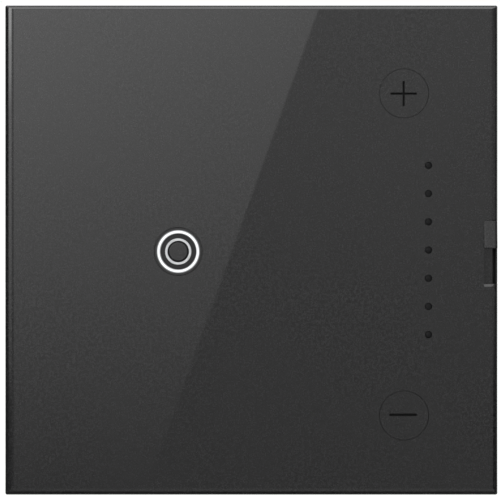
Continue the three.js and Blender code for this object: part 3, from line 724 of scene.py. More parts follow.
def face_plate_paint(spot, normal):
    """0 polished; 1 matt dark and 2 nearly black are painted shade: 2 on the slot's outer rim, 1
    on the slot floor beside it, in the lips of the key holes and in the seam round the light ring.
    """
    in_slot = SLOT_BOTTOM - 0.01 < spot.z < SLOT_TOP + 0.01
    # painted shade on the slot's outer edge: nearly black on the rim, matt dark on the floor
    # beside it
    if spot.y > FRONT + 0.7 and spot.x > SLOT_LEFT and in_slot:
        return 2 if spot.x > 33.3 else 1 if spot.x > 32.9 else 0
    to_key = min(
        math.hypot(spot.x - PLUS_X, spot.z - PLUS_Z),
        math.hypot(spot.x - MINUS_X, spot.z - MINUS_Z),
    )
    # painted shade in the gap round the plus and minus keys
    if spot.y > FRONT + 0.0003 and to_key < KEY_HOLE + 0.006:
        return 1
    to_power = math.hypot(spot.x - POWER_X, spot.z - POWER_Z)
    # painted shade in the dark seam round the light ring
    return FRONT + 0.004 < spot.y < FRONT + 0.2 and SEAM[0] - 0.02 < to_power < SEAM[1] + 0.02


def face_plate():
    part = made("face_plate_shell", face_shell())
    seam_ends = (FRONT - 1, FRONT + 0.16)
    seam = [(SEAM[0], seam_ends[0]), (SEAM[1], seam_ends[0]),
            (SEAM[1], seam_ends[1]), (SEAM[0], seam_ends[1])]
    boolean(part, [
        mouth(KEY_HOLE, PLUS_X, PLUS_Z, lip=0.006),
        mouth(KEY_HOLE, MINUS_X, MINUS_Z, lip=0.006),
        mouth(POWER_HOLE, POWER_X, POWER_Z, lip=0.02),
        turned(seam, 128, POWER_X, POWER_Z),
        *[mouth(LEVEL_HOLE, LEVEL_X, z, lip=0.01, count=48) for z in LEVEL_Z],
    ])
    # the cavity behind the panel
    cavity = rounded_rect(FACE_WIDTH - 2.4, FACE_HEIGHT - 2.4, 0.5, 6)
    boolean(part, [prism(cavity, FRONT + 2, 3)])
    boolean(part, [slot_cutter()])
    boolean(part, [ramp_cutter()])
    # room behind the slot for the slider's flange
    boolean(part, [block(28.9, 33.42, FRONT + 0.98, FRONT + 2.1, -11.3, 10.2)])
    # snap arms behind the top and bottom edges
    for side in SIDES:
        for end in SIDES:
            outline = [(y, end * z) for y, z in ARM_OUTLINE]
            arm = prism_x(outline, side * ARM_X - 2.5, side * ARM_X + 2.5)
            boolean(part, [arm], "UNION")
    soften(part, 11)
    place(part, "face_plate", "graphite", "graphite", "land", "ink_and_painted_shade", paint=face_plate_paint)


face_plate()


# ------------------------------------------------------------------ keys, rings and lamps
def outer_round(radius, edge, angles=(0, 30, 60, 90)):
    """Profile round from the face's front outwards to radius."""
    return [
        (radius - edge + edge * sin_deg(a), FRONT + edge - edge * cos_deg(a)) for a in angles
    ]


def ring_top(inner, outer, edge):
    """Profile over a ring's front, from its inner to its outer wall."""
    points = [(inner, FRONT + edge)]
    points += [
        (inner + edge - edge * cos_deg(a), FRONT + edge - edge * sin_deg(a)) for a in (30, 60, 90)
    ]
    return points + outer_round(outer, edge)


def round_key(name, node, body, x, z, strokes):
    """Key cap with a sunk sign. Strokes are (width, height, x, z), placed from the key's
    middle."""
    profile = [(0, FRONT), *outer_round(KEY_RADIUS, 0.006, FINE_ROUND)]
    profile += [(KEY_RADIUS, -8.95), (4.1, -8.95), (4.1, -8.3), (1.5, -8.3), (1.5, -8.0),
                (0, -8.0)]
    part = made(name, turned(profile, 128, x, z))
    for width, height, off_x, off_z in strokes:
        radius = min(width, height) * 0.35
        outline = rounded_rect(width, height, radius, 6, x + off_x, z + off_z)
        boolean(part, [prism(outline, FRONT - 1, FRONT + 0.25)])
    soften(part, 30)

    def paint(spot, normal):
        """1 in the sign, filled black, and on the rounded edge, where it is painted shade in the
        gap round the key.
        """
        radius = math.hypot(spot.x - x, spot.z - z)
        in_sign = FRONT + 0.004 < spot.y < FRONT + 0.26 and radius < 2.4
        return in_sign or (spot.y > FRONT + 0.0003 and radius > KEY_RADIUS - 0.006)

    place(part, node, "graphite", "graphite", "ink_and_painted_shade", body=body, paint=paint)


round_key("raise_key_cap", "plus_key", "raise_button", PLUS_X, PLUS_Z,
          [(3.6, 0.3, -0.06, -0.03), (0.3, 3.46, -0.06, -0.03)])
round_key("lower_key_cap", "minus_key", "lower_button", MINUS_X, MINUS_Z,
          [(3.77, 0.36, -0.14, 0.1)])


def light_ring():
    """Fixed ring round the power key."""
    inner, outer = 2.46, 2.93
    profile = [(outer, -8.95), (5.2, -8.95), (5.2, -8.1), (inner, -8.1)]
    part = made("light_ring", turned(profile + ring_top(inner, outer, 0.07), 128,
                                     POWER_X, POWER_Z))
    soften(part, 35)
    place(part, "power_light_ring", "light_guide", "ring")


def power_key():
    """Centre post, groove for the inlay and recessed outer land, the land painted shade in matt
    dark.
    """
    profile = [(0, FRONT), *outer_round(1.25, 0.04)]
    profile += [
        (1.25, -9.4), (1.84, -9.4), (1.84, FRONT + 0.16), (1.88, FRONT + 0.12),
        (2.34, FRONT + 0.12), (2.38, FRONT + 0.16), (2.38, -8.0), (3.3, -8.0),
        (3.3, -7.5), (0, -7.5),
    ]
    part = made("power_key_cap", turned(profile, 96, POWER_X, POWER_Z))
    soften(part, 35)
    # painted shade: every face more than 0.05 mm behind the front, the recessed land among them,
    # gets the matt dark material
    place(part, "power_key", "graphite", "graphite", "land", body="power_button",
          paint=lambda spot, normal: FRONT + 0.05 < spot.y)


def power_inlay():
    """Inner ring, set in the power key's groove; its faint glow is painted light, as no lamp is
    behind it.
    """
    inner, outer = 1.47, 1.80
    profile = [(outer, -9.55), (inner, -9.55)] + ring_top(inner, outer, 0.06)
    part = made("power_key_ring", turned(profile, 96, POWER_X, POWER_Z))
    soften(part, 35)
    place(part, "power_key_inlay", "ring_grey", "inlay", body="power_button")


light_ring()
power_key()
power_inlay()


def lens_bar():
    """Bar behind the face with a post in each level hole."""
    part = made("level_lens_bar", block(LEVEL_X - 1.03, LEVEL_X + 1.07, -8.9, -8.1, -12.9, 12.9))
    profile = [(0, FRONT + 0.16), (0.3, FRONT + 0.165), (0.40, FRONT + 0.18),
               (0.43, FRONT + 0.22), (0.43, -8.5), (0, -8.5)]
    boolean(part, [turned(profile, 36, LEVEL_X, z) for z in LEVEL_Z], "UNION")
    soften(part, 35)
    place(part, "level_light_pipe", "smoked", "smoked")


lens_bar()


def slider():
    """Sliding tab in the slot, with a flange and a stem behind it."""
    bottom, top = 0.21, 3.95
    left, right = SLOT_LEFT + 0.03, TAB_RIGHT + 0.02
    back = FRONT + 1.1
    top_round, lip_round = 0.06, 0.12
    # side profile as (y, z): rounded top edge, sloping face, rounded lip
    profile = [(back, top)]
    profile += [
        (FRONT + top_round - top_round * sin_deg(a), top - top_round + top_round * cos_deg(a))
        for a in (0, 30, 60, 85)
    ]
    profile += [
        (TAB_FRONT + lip_round - lip_round * sin_deg(a),
         bottom + lip_round - lip_round * cos_deg(a))
        for a in (95, 70, 45, 20)
    ]
    profile += [(TAB_FRONT + 0.2, bottom), (back, bottom)]
    # (x, push back) across the width: a small round on the left, one like the plate's on the right
    stations = [(left, 0.03), (left + 0.012, 0.0135), (left + 0.045, 0.0085), (left + 0.17, 0.0)]
    stations += [
        (right - 0.38 + 0.38 * sin_deg(a), 0.42 - 0.42 * cos_deg(a))
        for a in (0, 15, 30, 45, 60, 75, 88)
    ]
    loops = [[(x, min(y + push, back), z) for y, z in profile] for x, push in stations]
    part = made("slide_tab", skin(loops))
    boolean(part, [block(29.1, 33.08, FRONT + 1.08, FRONT + 1.85, -5.6, 9.7)], "UNION")
    boolean(part, [block(29.4, 31.0, FRONT + 1.7, -6.2, 0.6, 3.6)], "UNION")
    soften(part, 28)
    place(part, "air_gap_slider", "graphite", "slide", "bezel", "graphite",
          body="air_gap_switch",
          paint=lambda spot, normal: 0 if spot.y < FRONT + 1.0 else 2 if normal.y < -0.9 else 1)


slider()

# ------------------------------------------------------------------ bezel tray and yoke
# openings as (x0, x1, z0, z1)
BOTTOM_WINDOW = (-9, 9, -27, -21.5)
UPPER_SLOT = (15.6, 18.2, 3.6, 7.2)
LOWER_SLOT = (15.6, 18.2, -4.2, -0.6)


def raised_seat(x0, x1, z0, z1):
    """Raised seat with softened edges, its back on the mounting plane."""
    loops = []
    for inset, y in ((0.0, -0.6), (0.0, -0.1), (0.1, 0.0)):
        outline = rounded_rect(x1 - x0 - 2 * inset, z1 - z0 - 2 * inset, 0.5, 5,
                               (x0 + x1) / 2, (z0 + z1) / 2)
        loops.append(at_y(outline, y))
    return skin(loops)


def bezel():
    rim = [(0.12, -4.62), (0.0, -4.5), (0.0, -0.45), (0.06, -0.31), (0.2, -0.25)]
    part = made("bezel_tray", stack(67.1, 66.7, 0.8, rim, 6))
    wall = [(0.25, -8.6), (0.0, -8.35), (0.0, -4.4)]
    boolean(part, [stack(64.7, 64.3, 0.4, wall, 4)], "UNION")
    # the tray's inside, then the recess for the yoke
    boolean(part, [prism(rounded_rect(62.7, 62.3, 0.4, 4), -9, -3.05)])
    boolean(part, [prism(rounded_rect(60.3, 60.3, 1.2, 6), -1.6, 1)])
    boolean(part, [
        raised_seat(-26, 26, 30.7, 32.9),
        raised_seat(-13, 13, -32.9, -30.7),
        *[rod(2.7, -4.05, -2.2, x, z, 40) for x, z in SCREWS],
        block(27.9, 31.6, -8.4, -2.9, 10.9, 11.9),
        block(27.9, 31.6, -8.4, -2.9, -13.2, -12.2),
    ], "UNION")
    cuts = [rod(1.3, -5, -1, x, z, 32) for x, z in SCREWS]
    cuts += [
        window(BOTTOM_WINDOW, -4, 1),
        window(UPPER_SLOT, -4, -1),
        window(LOWER_SLOT, -4, -1),
        # notches in the back of the bottom edge
        block(-21, -15, -1.2, 1, -34, -32.2),
        block(15, 21, -1.2, 1, -34, -32.2),
    ]
    # slots for the face plate's snap arms
    for side in SIDES:
        x0, x1 = side * ARM_X - 2.8, side * ARM_X + 2.8
        cuts += [block(x0, x1, -6.7, -5.5, 30, 34), block(x0, x1, -6.7, -5.5, -34, -30)]
    boolean(part, cuts)
    soften(part, 40, width=0.07)
    place(part, "bezel_frame", "bezel_black", "bezel")


bezel()

RIVET_X = 26  # rivets that hold the spring clips
# (radius, y)
RIVET_PROFILE = (
    (0, -0.5), (1.1, -0.5), (1.1, 0.82), (1.95, 0.84), (1.95, 0.95),
    (1.8, 1.1), (1.2, 1.2), (0.5, 1.1), (0, 1.08),
)


def yoke():
    """Metal plate in the bezel's recess, with the clip rivets."""
    part = made("yoke_plate", prism(rounded_rect(59.7, 59.7, 1.4, 8), -1.5, -0.02))
    cuts = [rod(1.7, -3, 2, x, z, 40) for x, z in SCREWS]
    cuts += [window(area, -3, 2) for area in (BOTTOM_WINDOW, UPPER_SLOT, LOWER_SLOT)]
    cuts += [rod(1.3, -3, 2, x, 14, 32) for x in (-9.5, 9.5)]
    for side in SIDES:
        for z in (-22, -17.5, -13, 13, 17.5, 22):
            cuts.append(prism(rounded_rect(4.4, 1.8, 0.88, 6, side * 26, z), -3, 2))
    boolean(part, cuts)
    boolean(part, [turned(RIVET_PROFILE, 48, side * RIVET_X, 0) for side in SIDES], "UNION")
    soften(part, 40, width=0.08)
    place(part, "heatsink_yoke", "aluminium", "aluminium")


yoke()

# ------------------------------------------------------------------ rear housing
TERMINAL_Y, TERMINAL_Z = 23.5, 13.0  # middle of each terminal; two up, two down
BACK_ROUND = 1.05
HOUSING_WIDTH, HOUSING_HEIGHT, HOUSING_WALL = 44, 58, 1.8
LABEL_WIDTH, LABEL_HEIGHT, LABEL_DEPTH = 22, 24, 0.4


def housing_supports(part):
    """Corner columns with webs, then the solid blocks that hold the terminals."""
    columns = [rod(3.5, 0.6, HOUSING_BACK - 1, x, z, 40) for x, z in SCREWS]
    boolean(part, columns, "UNION")
    webs = []
    for x, z in SCREWS:
        side = 1 if x > 0 else -1
        ends = sorted((x + side * 0.5, side * 21))
        webs.append(block(*ends, 0.7, 29.9, z - 1.2, z + 1.2))
    boolean(part, webs, "UNION")
    boolean(part, [
        block(*span(side, 14.8, 21), 14.9, 30.1, end * 13 - 7.1, end * 13 + 7.1)
        for side in SIDES
        for end in SIDES
    ], "UNION")


def terminal_pockets(part):
    pockets, holes = [], []
    for side in SIDES:
        for end in SIDES:
            z = end * 13
            pockets.append(block(*span(side, 16.4, 30), 16.5, 40, z - 5.5, z + 5.5))
            holes.append(rod_x(2.1, *span(side, 15.3, 17), TERMINAL_Y, z, 40))
            holes.append(block(*span(side, 16.3, 17.8), 14, 17, z - 1.8, z + 1.8))
    boolean(part, pockets)
    boolean(part, holes)


def housing_paint(spot, normal):
    """1 on the floor of the label recess."""
    on_floor = HOUSING_BACK - 0.41 < spot.y < HOUSING_BACK - 0.37
    in_area = abs(spot.x) < LABEL_WIDTH / 2 and abs(spot.z) < LABEL_HEIGHT / 2
    return on_floor and in_area and normal.y > 0.9


def housing():
    back = HOUSING_BACK
    section = [(0.0, 0.15), (0.0, back - BACK_ROUND)]
    section += [
        (BACK_ROUND - BACK_ROUND * cos_deg(a), back - BACK_ROUND + BACK_ROUND * sin_deg(a))
        for a in (20, 40, 60, 80)
    ]
    section.append((1.2, back))
    part = made("housing_shell", stack(HOUSING_WIDTH, HOUSING_HEIGHT, 2.4, section, 8))
    inside = rounded_rect(HOUSING_WIDTH - 2 * HOUSING_WALL, HOUSING_HEIGHT - 2 * HOUSING_WALL,
                          1, 4)
    boolean(part, [prism(inside, -2, back - HOUSING_WALL)])
    housing_supports(part)
    terminal_pockets(part)
    # screw holes and their counterbores
    boolean(part, [rod(1.7, -1, 33, x, z, 32) for x, z in SCREWS])
    boolean(part, [rod(2.75, 26.2, 33, x, z, 48) for x, z in SCREWS])
    # label recess, and slots through the top and bottom walls
    cuts = [prism(rounded_rect(LABEL_WIDTH, LABEL_HEIGHT, 1, 6), back - LABEL_DEPTH, 40)]
    for x in range(-10, 11, 4):
        for end in SIDES:
            cuts.append(prism_z(upright_slot(x, 11, 1.4, 10), *span(end, 26.4, 30)))
    boolean(part, cuts)
    # strip-length gauge: a line with a tick at each end
    boolean(part, [block(-6, 6, back - 0.5, 40, -18.6, -17.6)])
    boolean(part, [block(x0, x1, back - 0.5, 40, -19.8, -16.4)
                   for x0, x1 in ((-6, -5.2), (5.2, 6))])
    # ejector marks
    marks = [(x, z) for z in (20.5, -20.5) for x in (-11.5, 11.5)]
    boolean(part, [rod(1.6, back - 0.06, 40, x, z, 40) for x, z in marks])
    soften(part, 40, width=0.11)
    place(part, "rear_housing", "housing_grey", "housing", "label", paint=housing_paint)


housing()

# ------------------------------------------------------------------ case screws
# head as (radius, y)
CASE_SCREW_HEAD = (
    (0, 28.15), (0.8, 28.12), (1.5, 27.98), (2.05, 27.7), (2.38, 27.3),
    (2.5, 26.9), (2.5, 26.35), (2.44, 26.28), (1.15, 26.28),
)


def drive(part, x, z):
    """Cross recess with tapered wings, cut into the head's back."""
    head_y, width, length, depth = 28.1, 0.56, 2.6, 0.9
    for across, along in ((width, length), (length, width)):
        wide = rounded_rect(across * 1.15, along * 1.1, 0.05, 3)
        narrow = rounded_rect(across * 0.7, along * 0.6, 0.04, 3)
        boolean(part, [skin([
            at_y([(x + off_x, z + off_z) for off_x, off_z in outline], y)
            for outline, y in ((wide, head_y + 0.5), (narrow, head_y - depth))
        ])])


def case_screw(number, x, z):
    profile = list(CASE_SCREW_HEAD)
    y = 25.9
    while y > -2.6:  # thread as ridges, far apart until close to the front
        profile += [(1.15, y), (1.32, y - 0.22), (1.15, y - 0.44)]
        y -= 0.55 if y < 8 else 6.0
    profile += [(1.1, -3.3), (0.5, -3.9), (0, -3.95)]
    part = made(f"case_screw_{number}", turned(profile, 56, x, z))
    drive(part, x, z)
    soften(part, 38)
    place(part, f"housing_screw_{number}", "zinc_steel", "zinc")


for number, (x, z) in enumerate(SCREWS, 1):
    case_screw(number, x, z)

# ------------------------------------------------------------------ terminals
# head and neck of a binding-head screw as (radius, height from the head's outer end)
TERMINAL_SCREW_HEAD = (
    (0, 0.0), (1.6, -0.02), (2.6, -0.1), (3.2, -0.26), (3.5, -0.52), (3.6, -0.85),
    (3.6, -1.55), (3.5, -1.75), (3.2, -1.9), (2.2, -1.75), (1.72, -1.75),
)


def terminal_plate(name, side, z, look, slot, tongue_front):
    """Plate with a bent rear lip and a wire land; its tongue reaches forward to tongue_front."""
    part = made(f"{name}_plate", block(*span(side, 16.5, 17.5), 17.2, 28.6, z - 4.3, z + 4.3))
    for body in (
        block(*span(side, 16.45, 17.6), 17.2, 19.6, z - 4.3, z + 4.3),
        block(*span(side, 16.55, 17.45), tongue_front, 17.5, z - 1.5, z + 1.5),
        block(*span(side, 16.5, 19.2), 28.0, 28.8, z - 2.2, z + 2.2),
    ):
        boolean(part, [body], "UNION")
    # serrations under the screw head
    boolean(part, [
        block(*span(side, 17.44, 18), y, y + 0.22, z - 3.9, z + 3.9)
        for y in (20.6, 21.4, 25.4, 26.2, 27.0)
    ])
    boolean(part, [rod_x(1.85, *span(side, 10, 20), TERMINAL_Y, z, 48)])
    soften(part, 40, width=0.06)
    place(part, f"{name}_terminal_plate", slot, look)


def terminal_screw(name, side, z, look, slot):
    profile = list(TERMINAL_SCREW_HEAD)
    height = -1.9
    while height > -5.4:  # thread
        profile += [(1.5, height - 0.12), (1.72, height - 0.3),
                    (1.72, height - 0.36), (1.5, height - 0.54)]
        height -= 0.6
    profile += [(1.4, -5.75), (1.1, -6.0), (0, -6.0)]
    part = made(f"{name}_screw",
                turned(profile, 64, side * 21.5, z, y=TERMINAL_Y, side=side))
    # straight slot, then a tapered wing across it
    boolean(part, [block(*span(side, 20.6, 22.5), TERMINAL_Y - 4.2, TERMINAL_Y + 4.2,
                         z - 0.4, z + 0.4)])
    boolean(part, [skin([
        [(side * x, TERMINAL_Y + off_y, z + off_z)
         for off_y, off_z in rounded_rect(width, length, 0.05, 3)]
        for x, width, length in ((22.0, 0.9, 4.4), (20.2, 0.6, 2.2))
    ])])
    soften(part, 38)
    place(part, f"{name}_terminal_screw", slot, look)


BRASS, NICKEL = ("brass", "brass"), ("nickel", "nickel")  # (look, slot)
ZINC, GREEN = ("zinc", "zinc_steel"), ("ground", "ground_green")

for name, side, end, plate, screw, tongue_front in (
    ("line", -1, 1, BRASS, BRASS, 11.4),
    ("load", -1, -1, BRASS, BRASS, 11.4),
    ("neutral", 1, 1, NICKEL, NICKEL, 11.4),
    ("ground", 1, -1, ZINC, GREEN, 0.2),
):
    terminal_plate(name, side, end * TERMINAL_Z, *plate, tongue_front)
    terminal_screw(name, side, end * TERMINAL_Z, *screw)


# ------------------------------------------------------------------ spring clips
def clip(name, side):
    """Bent strip: foot riveted to the yoke, upright, and a barb that folds back."""
    half_thick, half_width, foot_bend, top_bend = 0.26, 5, 0.65, 0.4
    # middle line of the strip as (x, y)
    path = [(23.2, 0.4)]
    path += [
        (29.35 + foot_bend * sin_deg(a), 1.05 - foot_bend * cos_deg(a))
        for a in range(0, 91, 15)
    ]
    path += [(30.0, 7.35)]
    path += [
        (30.4 - top_bend * cos_deg(a), 7.75 + top_bend * sin_deg(a)) for a in range(15, 125, 15)
    ]
    path += [(32.75, 4.95), (32.88, 4.86)]
    one_face, other_face = [], []
    for i, (x, y) in enumerate(path):
        before = path[max(i - 1, 0)]
        after = path[min(i + 1, len(path) - 1)]
        along = Vector((after[0] - before[0], after[1] - before[1])).normalized()
        one_face.append((x - along.y * half_thick, y + along.x * half_thick))
        other_face.append((x + along.y * half_thick, y - along.x * half_thick))
    outline = [(side * x, y) for x, y in one_face + other_face[::-1]]
    part = made(f"{name}_clip_strip", prism_z(outline, -half_width, half_width))
    # opening in the upright and rivet hole in the foot
    boolean(part, [
        block(*span(side, 29, 30.9), 2, 6.2, -1.6, 1.6),
        rod(1.3, -1, 2, side * RIVET_X, 0, 40),
    ])
    soften(part, 40, width=0.05)
    place(part, f"{name}_mount_clip", "zinc_steel", "spring")


clip("left", -1)
clip("right", 1)

# ------------------------------------------------------------------ choke
CHOKE_RADIUS = 7.9  # from the choke's axis to the middle of its core
CHOKE_Y = centre("choke_core")[1]


def choke_core():
    """Ring with the square-shouldered section of a pressed core."""
    half_section, around, across = 2.86, 72, 28
    loops = []
    for i in range(around):
        turn = 2 * math.pi * i / around
        loop = []
        for j in range(across):
            angle = 2 * math.pi * j / across
            cos, sin = math.cos(angle), math.sin(angle)
            reach = half_section * (abs(cos) ** 4 + abs(sin) ** 4) ** -0.25 * 0.9
            radius = CHOKE_RADIUS + reach * cos
            loop.append((radius * math.cos(turn), CHOKE_Y + reach * sin, radius * math.sin(turn)))
        loops.append(loop)
    part = made("toroid_core", skin(loops, closed=True))
    soften(part, 60)
    place(part, "choke_core", "ferrite", "ferrite")


def choke_winding():
    """One wire wound round the core, with both ends led forward on the right."""
    turns, steps = 11, 11 * 36
    coil_radius, wire_radius, sides = 3.62, 0.36, 10
    lead_x, lead_y, lead_z = CHOKE_RADIUS + 3.65, -5.6, 1.2
    points = [(lead_x, lead_y, -lead_z)]
    for i in range(steps + 1):
        share = i / steps
        turn = 0.12 + share * (2 * math.pi - 0.24)
        angle = -math.pi / 2 + share * turns * 2 * math.pi
        radius = CHOKE_RADIUS + coil_radius * math.cos(angle)
        points.append((radius * math.cos(turn), coil_radius * math.sin(angle),
                       -radius * math.sin(turn)))
    points.append((lead_x, lead_y, lead_z))
    loops = []
    for i, (x, y, z) in enumerate(points):
        before = Vector(points[max(i - 1, 0)])
        after = Vector(points[min(i + 1, len(points) - 1)])
        along = (after - before).normalized()
        turn = math.atan2(z, x)
        around_core = Vector((-math.sin(turn), 0, math.cos(turn)))
        across = along.cross(around_core).normalized()
        up = along.cross(across).normalized()
        middle = Vector((x, y + CHOKE_Y, z))
        angles = [2 * math.pi * k / sides for k in range(sides)]
        loops.append([
            tuple(middle + wire_radius * (across * math.cos(angle) + up * math.sin(angle)))
            for angle in angles
        ])
    part = made("toroid_winding", skin(loops))
    soften(part, 60)
    place(part, "choke_winding", "copper", "copper")


choke_core()
choke_winding()

# ------------------------------------------------------------------ carried-over nodes
# CAD pieces kept as they are: look and bevel width in mm
CARRIED = {
    "light_mask": ("bezel", 0.06),
    "air_gap_carriage": ("nylon", 0.08),
    "air_gap_bridge": ("copper", 0.04),
    "air_gap_blade_line": ("brass", 0.05),
    "air_gap_blade_load": ("brass", 0.05),
    "air_gap_detent_spring": ("spring", 0.04),
    "control_board": ("board", 0.04),
    "microcontroller": ("chip", 0.05),
    "board_connector": ("chip", 0.05),
    **{f"{key}_tact_base": ("chip", 0.06) for key in ("power", "plus", "minus")},
    **{f"{key}_tact_plunger": ("nylon", 0.05) for key in ("power", "plus", "minus")},
    "ring_led": ("led", 0.03),
    **{f"level_led_{i}": ("led", 0.03) for i in range(1, 8)},
    "transistor_a": ("chip", 0.08),
    "transistor_b": ("chip", 0.08),
    "transistor_screw_a": ("zinc", 0.05),
    "transistor_screw_b": ("zinc", 0.05),
    "power_board": ("board", 0.04),
    "film_capacitor": ("film", 0.3),
    "bulk_capacitor": ("sleeve", 0.1),
    "varistor": ("varistor", 0.5),
    "fuse": ("fuse", 0.1),
}
for node, (look, width) in CARRIED.items():
    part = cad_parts[node]
    part.data.materials.clear()
    part.data.materials.append(LOOKS[look])
    add_bevel(part, width * MM, angle=35)


# ------------------------------------------------------------------ floor
def floor_material():
    """Pale and faintly glowing, with its own levels for the camera; clear from below."""
    material, tree = new_material("pale_floor")
    to_camera = tree.add("ShaderNodeLightPath").outputs["Is Camera Ray"]
    speck = tree.noise(tree.coords(), scale=0.02, detail=4.0, rough=0.6)
    pale = tree.mix(speck, rgba((0.84, 0.84, 0.84)), rgba((0.88, 0.88, 0.88)))
    tree.surface({
        "Base Color": tree.mix(to_camera, pale, rgba((0.13, 0.13, 0.13))),
        "Roughness": 0.9,
        "Specular IOR Level": 0.1,
        "Emission Color": (1, 1, 1, 1),
        "Emission Strength": tree.mix_value(to_camera, first=0.2, second=0.97),
    })
    from_below = tree.add("ShaderNodeNewGeometry").outputs["Backfacing"]
    clear = tree.add("ShaderNodeBsdfTransparent")
    both = tree.add("ShaderNodeMixShader",
                    {0: from_below, 1: tree.bsdf.outputs[0], 2: clear.outputs[0]})
    for node in material.node_tree.nodes:
        if node.type == "OUTPUT_MATERIAL":
            tree.put(node.inputs["Surface"], both.outputs[0])
    return material


def floor():
    """Square just below the face plate, in metres."""
    half = 3.0
    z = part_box("face_plate")[0][2] - 0.00002
    bm = bmesh.new()
    square = ((-half, -half), (half, -half), (half, half), (-half, half))
    bm.faces.new([bm.verts.new((x, y, z)) for x, y in square])
    part = made("floor", bm)
    part.data.materials.append(floor_material())
    part.visible_glossy = False


floor()


# ------------------------------------------------------------------ lights
def area(name, location, size, watts):
    """Square lamp aimed at the origin, not seen by the camera or in reflections."""
    lamp = bpy.data.lights.new(name, "AREA")
    lamp.shape, lamp.size, lamp.energy, lamp.color = "SQUARE", size, watts, (1, 1, 1)
    holder = bpy.data.objects.new(name, lamp)
    holder.location = location
    holder.rotation_mode = "QUATERNION"
    holder.rotation_quaternion = (-Vector(location)).to_track_quat("-Z", "Y")
    holder.visible_camera = False
    holder.visible_glossy = False
    scene.collection.objects.link(holder)


area("key", (-0.28, -0.42, 0.55), size=0.34, watts=2.6)
area("fill", (0.5, -0.38, 0.12), size=0.4, watts=0.7)
area("over", (0.0, 0.1, 0.75), size=0.5, watts=2.4)
area("back_left", (-0.45, 0.5, 0.32), size=0.3, watts=2.2)
area("back_right", (0.48, 0.42, 0.42), size=0.3, watts=2.2)

# ------------------------------------------------------------------ world
LENS, SENSOR = 240.0, 36.0
VIEW_WIDTH = 68.645  # width of the view at the face, in mm
CAMERA_DISTANCE = VIEW_WIDTH * LENS / SENSOR

# panel far to the left: (v, brightness), from its top down
LEFT_PANEL = (
    (-0.3, 6.8), (-0.07, 6.0), (-0.03, 4.2), (0.03, 4.0), (0.14, 2.1),
    (0.28, 1.8), (0.5, 1.35), (0.75, 0.8), (0.9, 0.25), (1.2, 0.1),
)
PANEL_RISE, PANEL_SPAN, PANEL_PEAK = 0.3, 1.5, 7  # start above v = 0, length, ramp's full value


def softbox(tree, u, v):
    """Brightness of the softbox, brightest at the top left, with a slanted right edge."""
    height = tree.math("MAXIMUM", tree.minus(1.0, v), 0.0)

    def fade(start, slope):
        """Falls towards the right."""
        return tree.minus(start, tree.mul(u, slope))

    def panel(height_cap, power, peak, lean):
        capped = tree.math("MINIMUM", height, height_cap)
        rise = tree.math("POWER", capped, power)
        return tree.mul(tree.mul(rise, peak), tree.math("MAXIMUM", lean, 0.0))

    left_cap, room_level = 1.1, 0.475
    left_lean = tree.math("MINIMUM", fade(start=1.023, slope=0.575), left_cap)
    left = panel(height_cap=1.15, power=1.25, peak=1.675, lean=left_lean)
    right = panel(height_cap=1.08, power=1.6, peak=0.4675, lean=fade(start=1.2, slope=0.35))
    edge_top, edge_slant = 0.642, 0.358  # u of the right edge at v = 0, and its lean leftwards
    past_edge = tree.minus(u, tree.minus(edge_top, tree.mul(v, edge_slant)))
    side = tree.smooth(past_edge, lo=-0.001, hi=0.004)
    return tree.plus(tree.mix_value(side, left, right), room_level)


def left_panel(tree, v):
    """Tall panel whose light falls off downwards."""
    along = tree.mul(tree.plus(v, PANEL_RISE), 1 / PANEL_SPAN)
    node = tree.add("ShaderNodeValToRGB", {0: along})
    ramp = node.color_ramp
    while len(ramp.elements) < len(LEFT_PANEL):
        ramp.elements.new(0.5)
    for element, (position, value) in zip(ramp.elements, LEFT_PANEL):
        element.position = (position + PANEL_RISE) / PANEL_SPAN
        grey = value / PANEL_PEAK
        element.color = (grey, grey, grey, 1)
    return tree.mul(node.outputs[0], PANEL_PEAK)


def front_room(tree, u, v):
    """Everything in front of the module."""
    gap_depth, panel_level, low_glow = 0.52, 1.0, 0.25
    room = softbox(tree, u, v)
    # just outside the softbox it is a little darker, on the left and above
    gap_left = tree.fall(u, lo=-0.35, hi=-0.03)
    gap_top = tree.mul(tree.fall(v, lo=-0.35, hi=-0.03), tree.smooth(v, lo=-1.05, hi=-0.7))
    gap = tree.math("MAXIMUM", gap_left, gap_top)
    room = tree.mul(room, tree.minus(1.0, tree.mul(gap, gap_depth)))
    far_left = tree.mul(tree.fall(u, lo=-3.2, hi=-1.8), panel_level)
    room = tree.mix_value(far_left, room, left_panel(tree, v))
    return tree.plus(room, tree.mul(tree.smooth(v, lo=1.5, hi=3.5), low_glow))


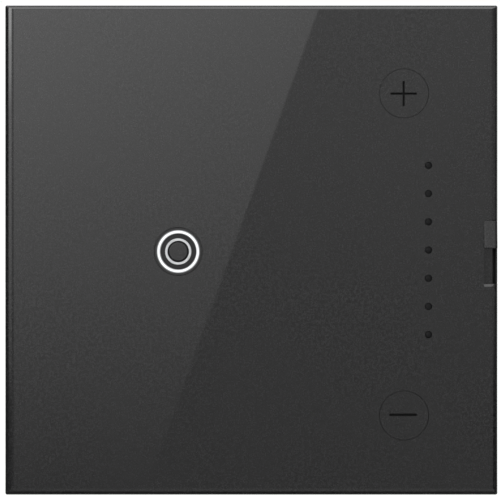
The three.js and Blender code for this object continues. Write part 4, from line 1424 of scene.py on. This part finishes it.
def surroundings(tree):
    """Reflected brightness by direction."""
    coords = tree.add("ShaderNodeTexCoord").outputs["Generated"]
    dir_x, dir_y, dir_z = tree.add("ShaderNodeSeparateXYZ", {"Vector": coords}).outputs
    forward = tree.mul(dir_y, -1.0)
    safe = tree.math("MAXIMUM", forward, 0.05)  # keeps the divisions finite
    # where a mirror-flat face would show this direction, as a share of the view's width:
    # u is 0 to 1 from the left, v is 0 to 1 from the top
    middle_u, middle_v = 0.503, 0.5
    reach = LENS / SENSOR
    u = tree.plus(tree.mul(tree.math("DIVIDE", dir_x, safe), reach), middle_u)
    v = tree.minus(middle_v, tree.mul(tree.math("DIVIDE", dir_z, safe), reach))
    room = front_room(tree, u, v)
    # the room ends at a fixed angle on the left; on the right it reaches further round at the
    # top than at the bottom
    end_right = tree.mix_value(tree.smooth(v, lo=-0.6, hi=1.6), first=0.38, second=0.70)
    end = tree.mix_value(tree.smooth(dir_x, lo=0.1, hi=0.4), first=0.655, second=end_right)
    in_front = tree.smooth(tree.minus(forward, end), lo=0.0, hi=0.09)
    # the rest is dim, lighter behind the module and a little lighter below
    dark, below_glow = 0.03, 0.06
    behind = tree.mix_value(tree.smooth(dir_x, lo=-0.5, hi=-0.1), first=0.25, second=0.6)
    rest = tree.plus(dark, tree.mul(tree.smooth(dir_y, lo=0.35, hi=0.85), behind))
    below = tree.smooth(tree.mul(dir_z, -1.0), lo=0.3, hi=0.8)
    rest = tree.plus(rest, tree.mul(below, below_glow))
    level = tree.mix_value(in_front, rest, room)
    # bright ceiling, weaker straight overhead and towards the back
    ceiling, overhead_loss = 3.95, 0.6
    share = tree.minus(1.0, tree.mul(tree.smooth(dir_z, lo=0.9, hi=0.99), overhead_loss))
    to_back = tree.smooth(dir_y, lo=-0.2, hi=0.2)
    share = tree.mul(share, tree.mix_value(to_back, first=1.0, second=0.16))
    above = tree.mul(tree.smooth(dir_z, lo=0.42, hi=0.6), ceiling)
    return tree.math("MAXIMUM", level, tree.mul(above, share))


def build_world():
    """Surroundings for reflections, with plain levels for the camera and for diffuse light."""
    world = bpy.data.worlds.new("studio")
    scene.world = world
    world.use_nodes = True
    world.node_tree.nodes.clear()
    tree = Tree(world.node_tree)
    reflected = surroundings(tree)
    path = tree.add("ShaderNodeLightPath").outputs
    level = tree.mix_value(path["Is Glossy Ray"], first=0.5, second=reflected)
    level = tree.mix_value(path["Is Camera Ray"], first=level, second=1.02)
    color = tree.add("ShaderNodeCombineColor", {0: level, 1: level, 2: level})
    background = tree.add("ShaderNodeBackground", {"Color": color.outputs[0], "Strength": 1.0})
    tree.add("ShaderNodeOutputWorld", {"Surface": background.outputs[0]})
    world.cycles.sampling_method = "NONE"


build_world()


# ------------------------------------------------------------------ camera
def camera():
    """Long lens straight in front of the face."""
    true_depth = 1.2  # mm behind the front, where the view's width holds: at the outline
    lens = bpy.data.cameras.new("camera")
    lens.lens, lens.sensor_width = LENS, SENSOR
    lens.clip_start, lens.clip_end = 0.01, 20.0
    lens.shift_x, lens.shift_y = -0.00276, 0.00012
    holder = bpy.data.objects.new("camera", lens)
    face_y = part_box("face_plate")[0][1]
    holder.location = (0.0, face_y + (true_depth - CAMERA_DISTANCE) * MM, 0.0)
    holder.rotation_mode = "QUATERNION"
    holder.rotation_quaternion = Vector((0, 1, 0)).to_track_quat("-Z", "Y")
    scene.collection.objects.link(holder)
    scene.camera = holder


camera()
scene.view_settings.view_transform = "Standard"
scene.view_settings.look = "None"
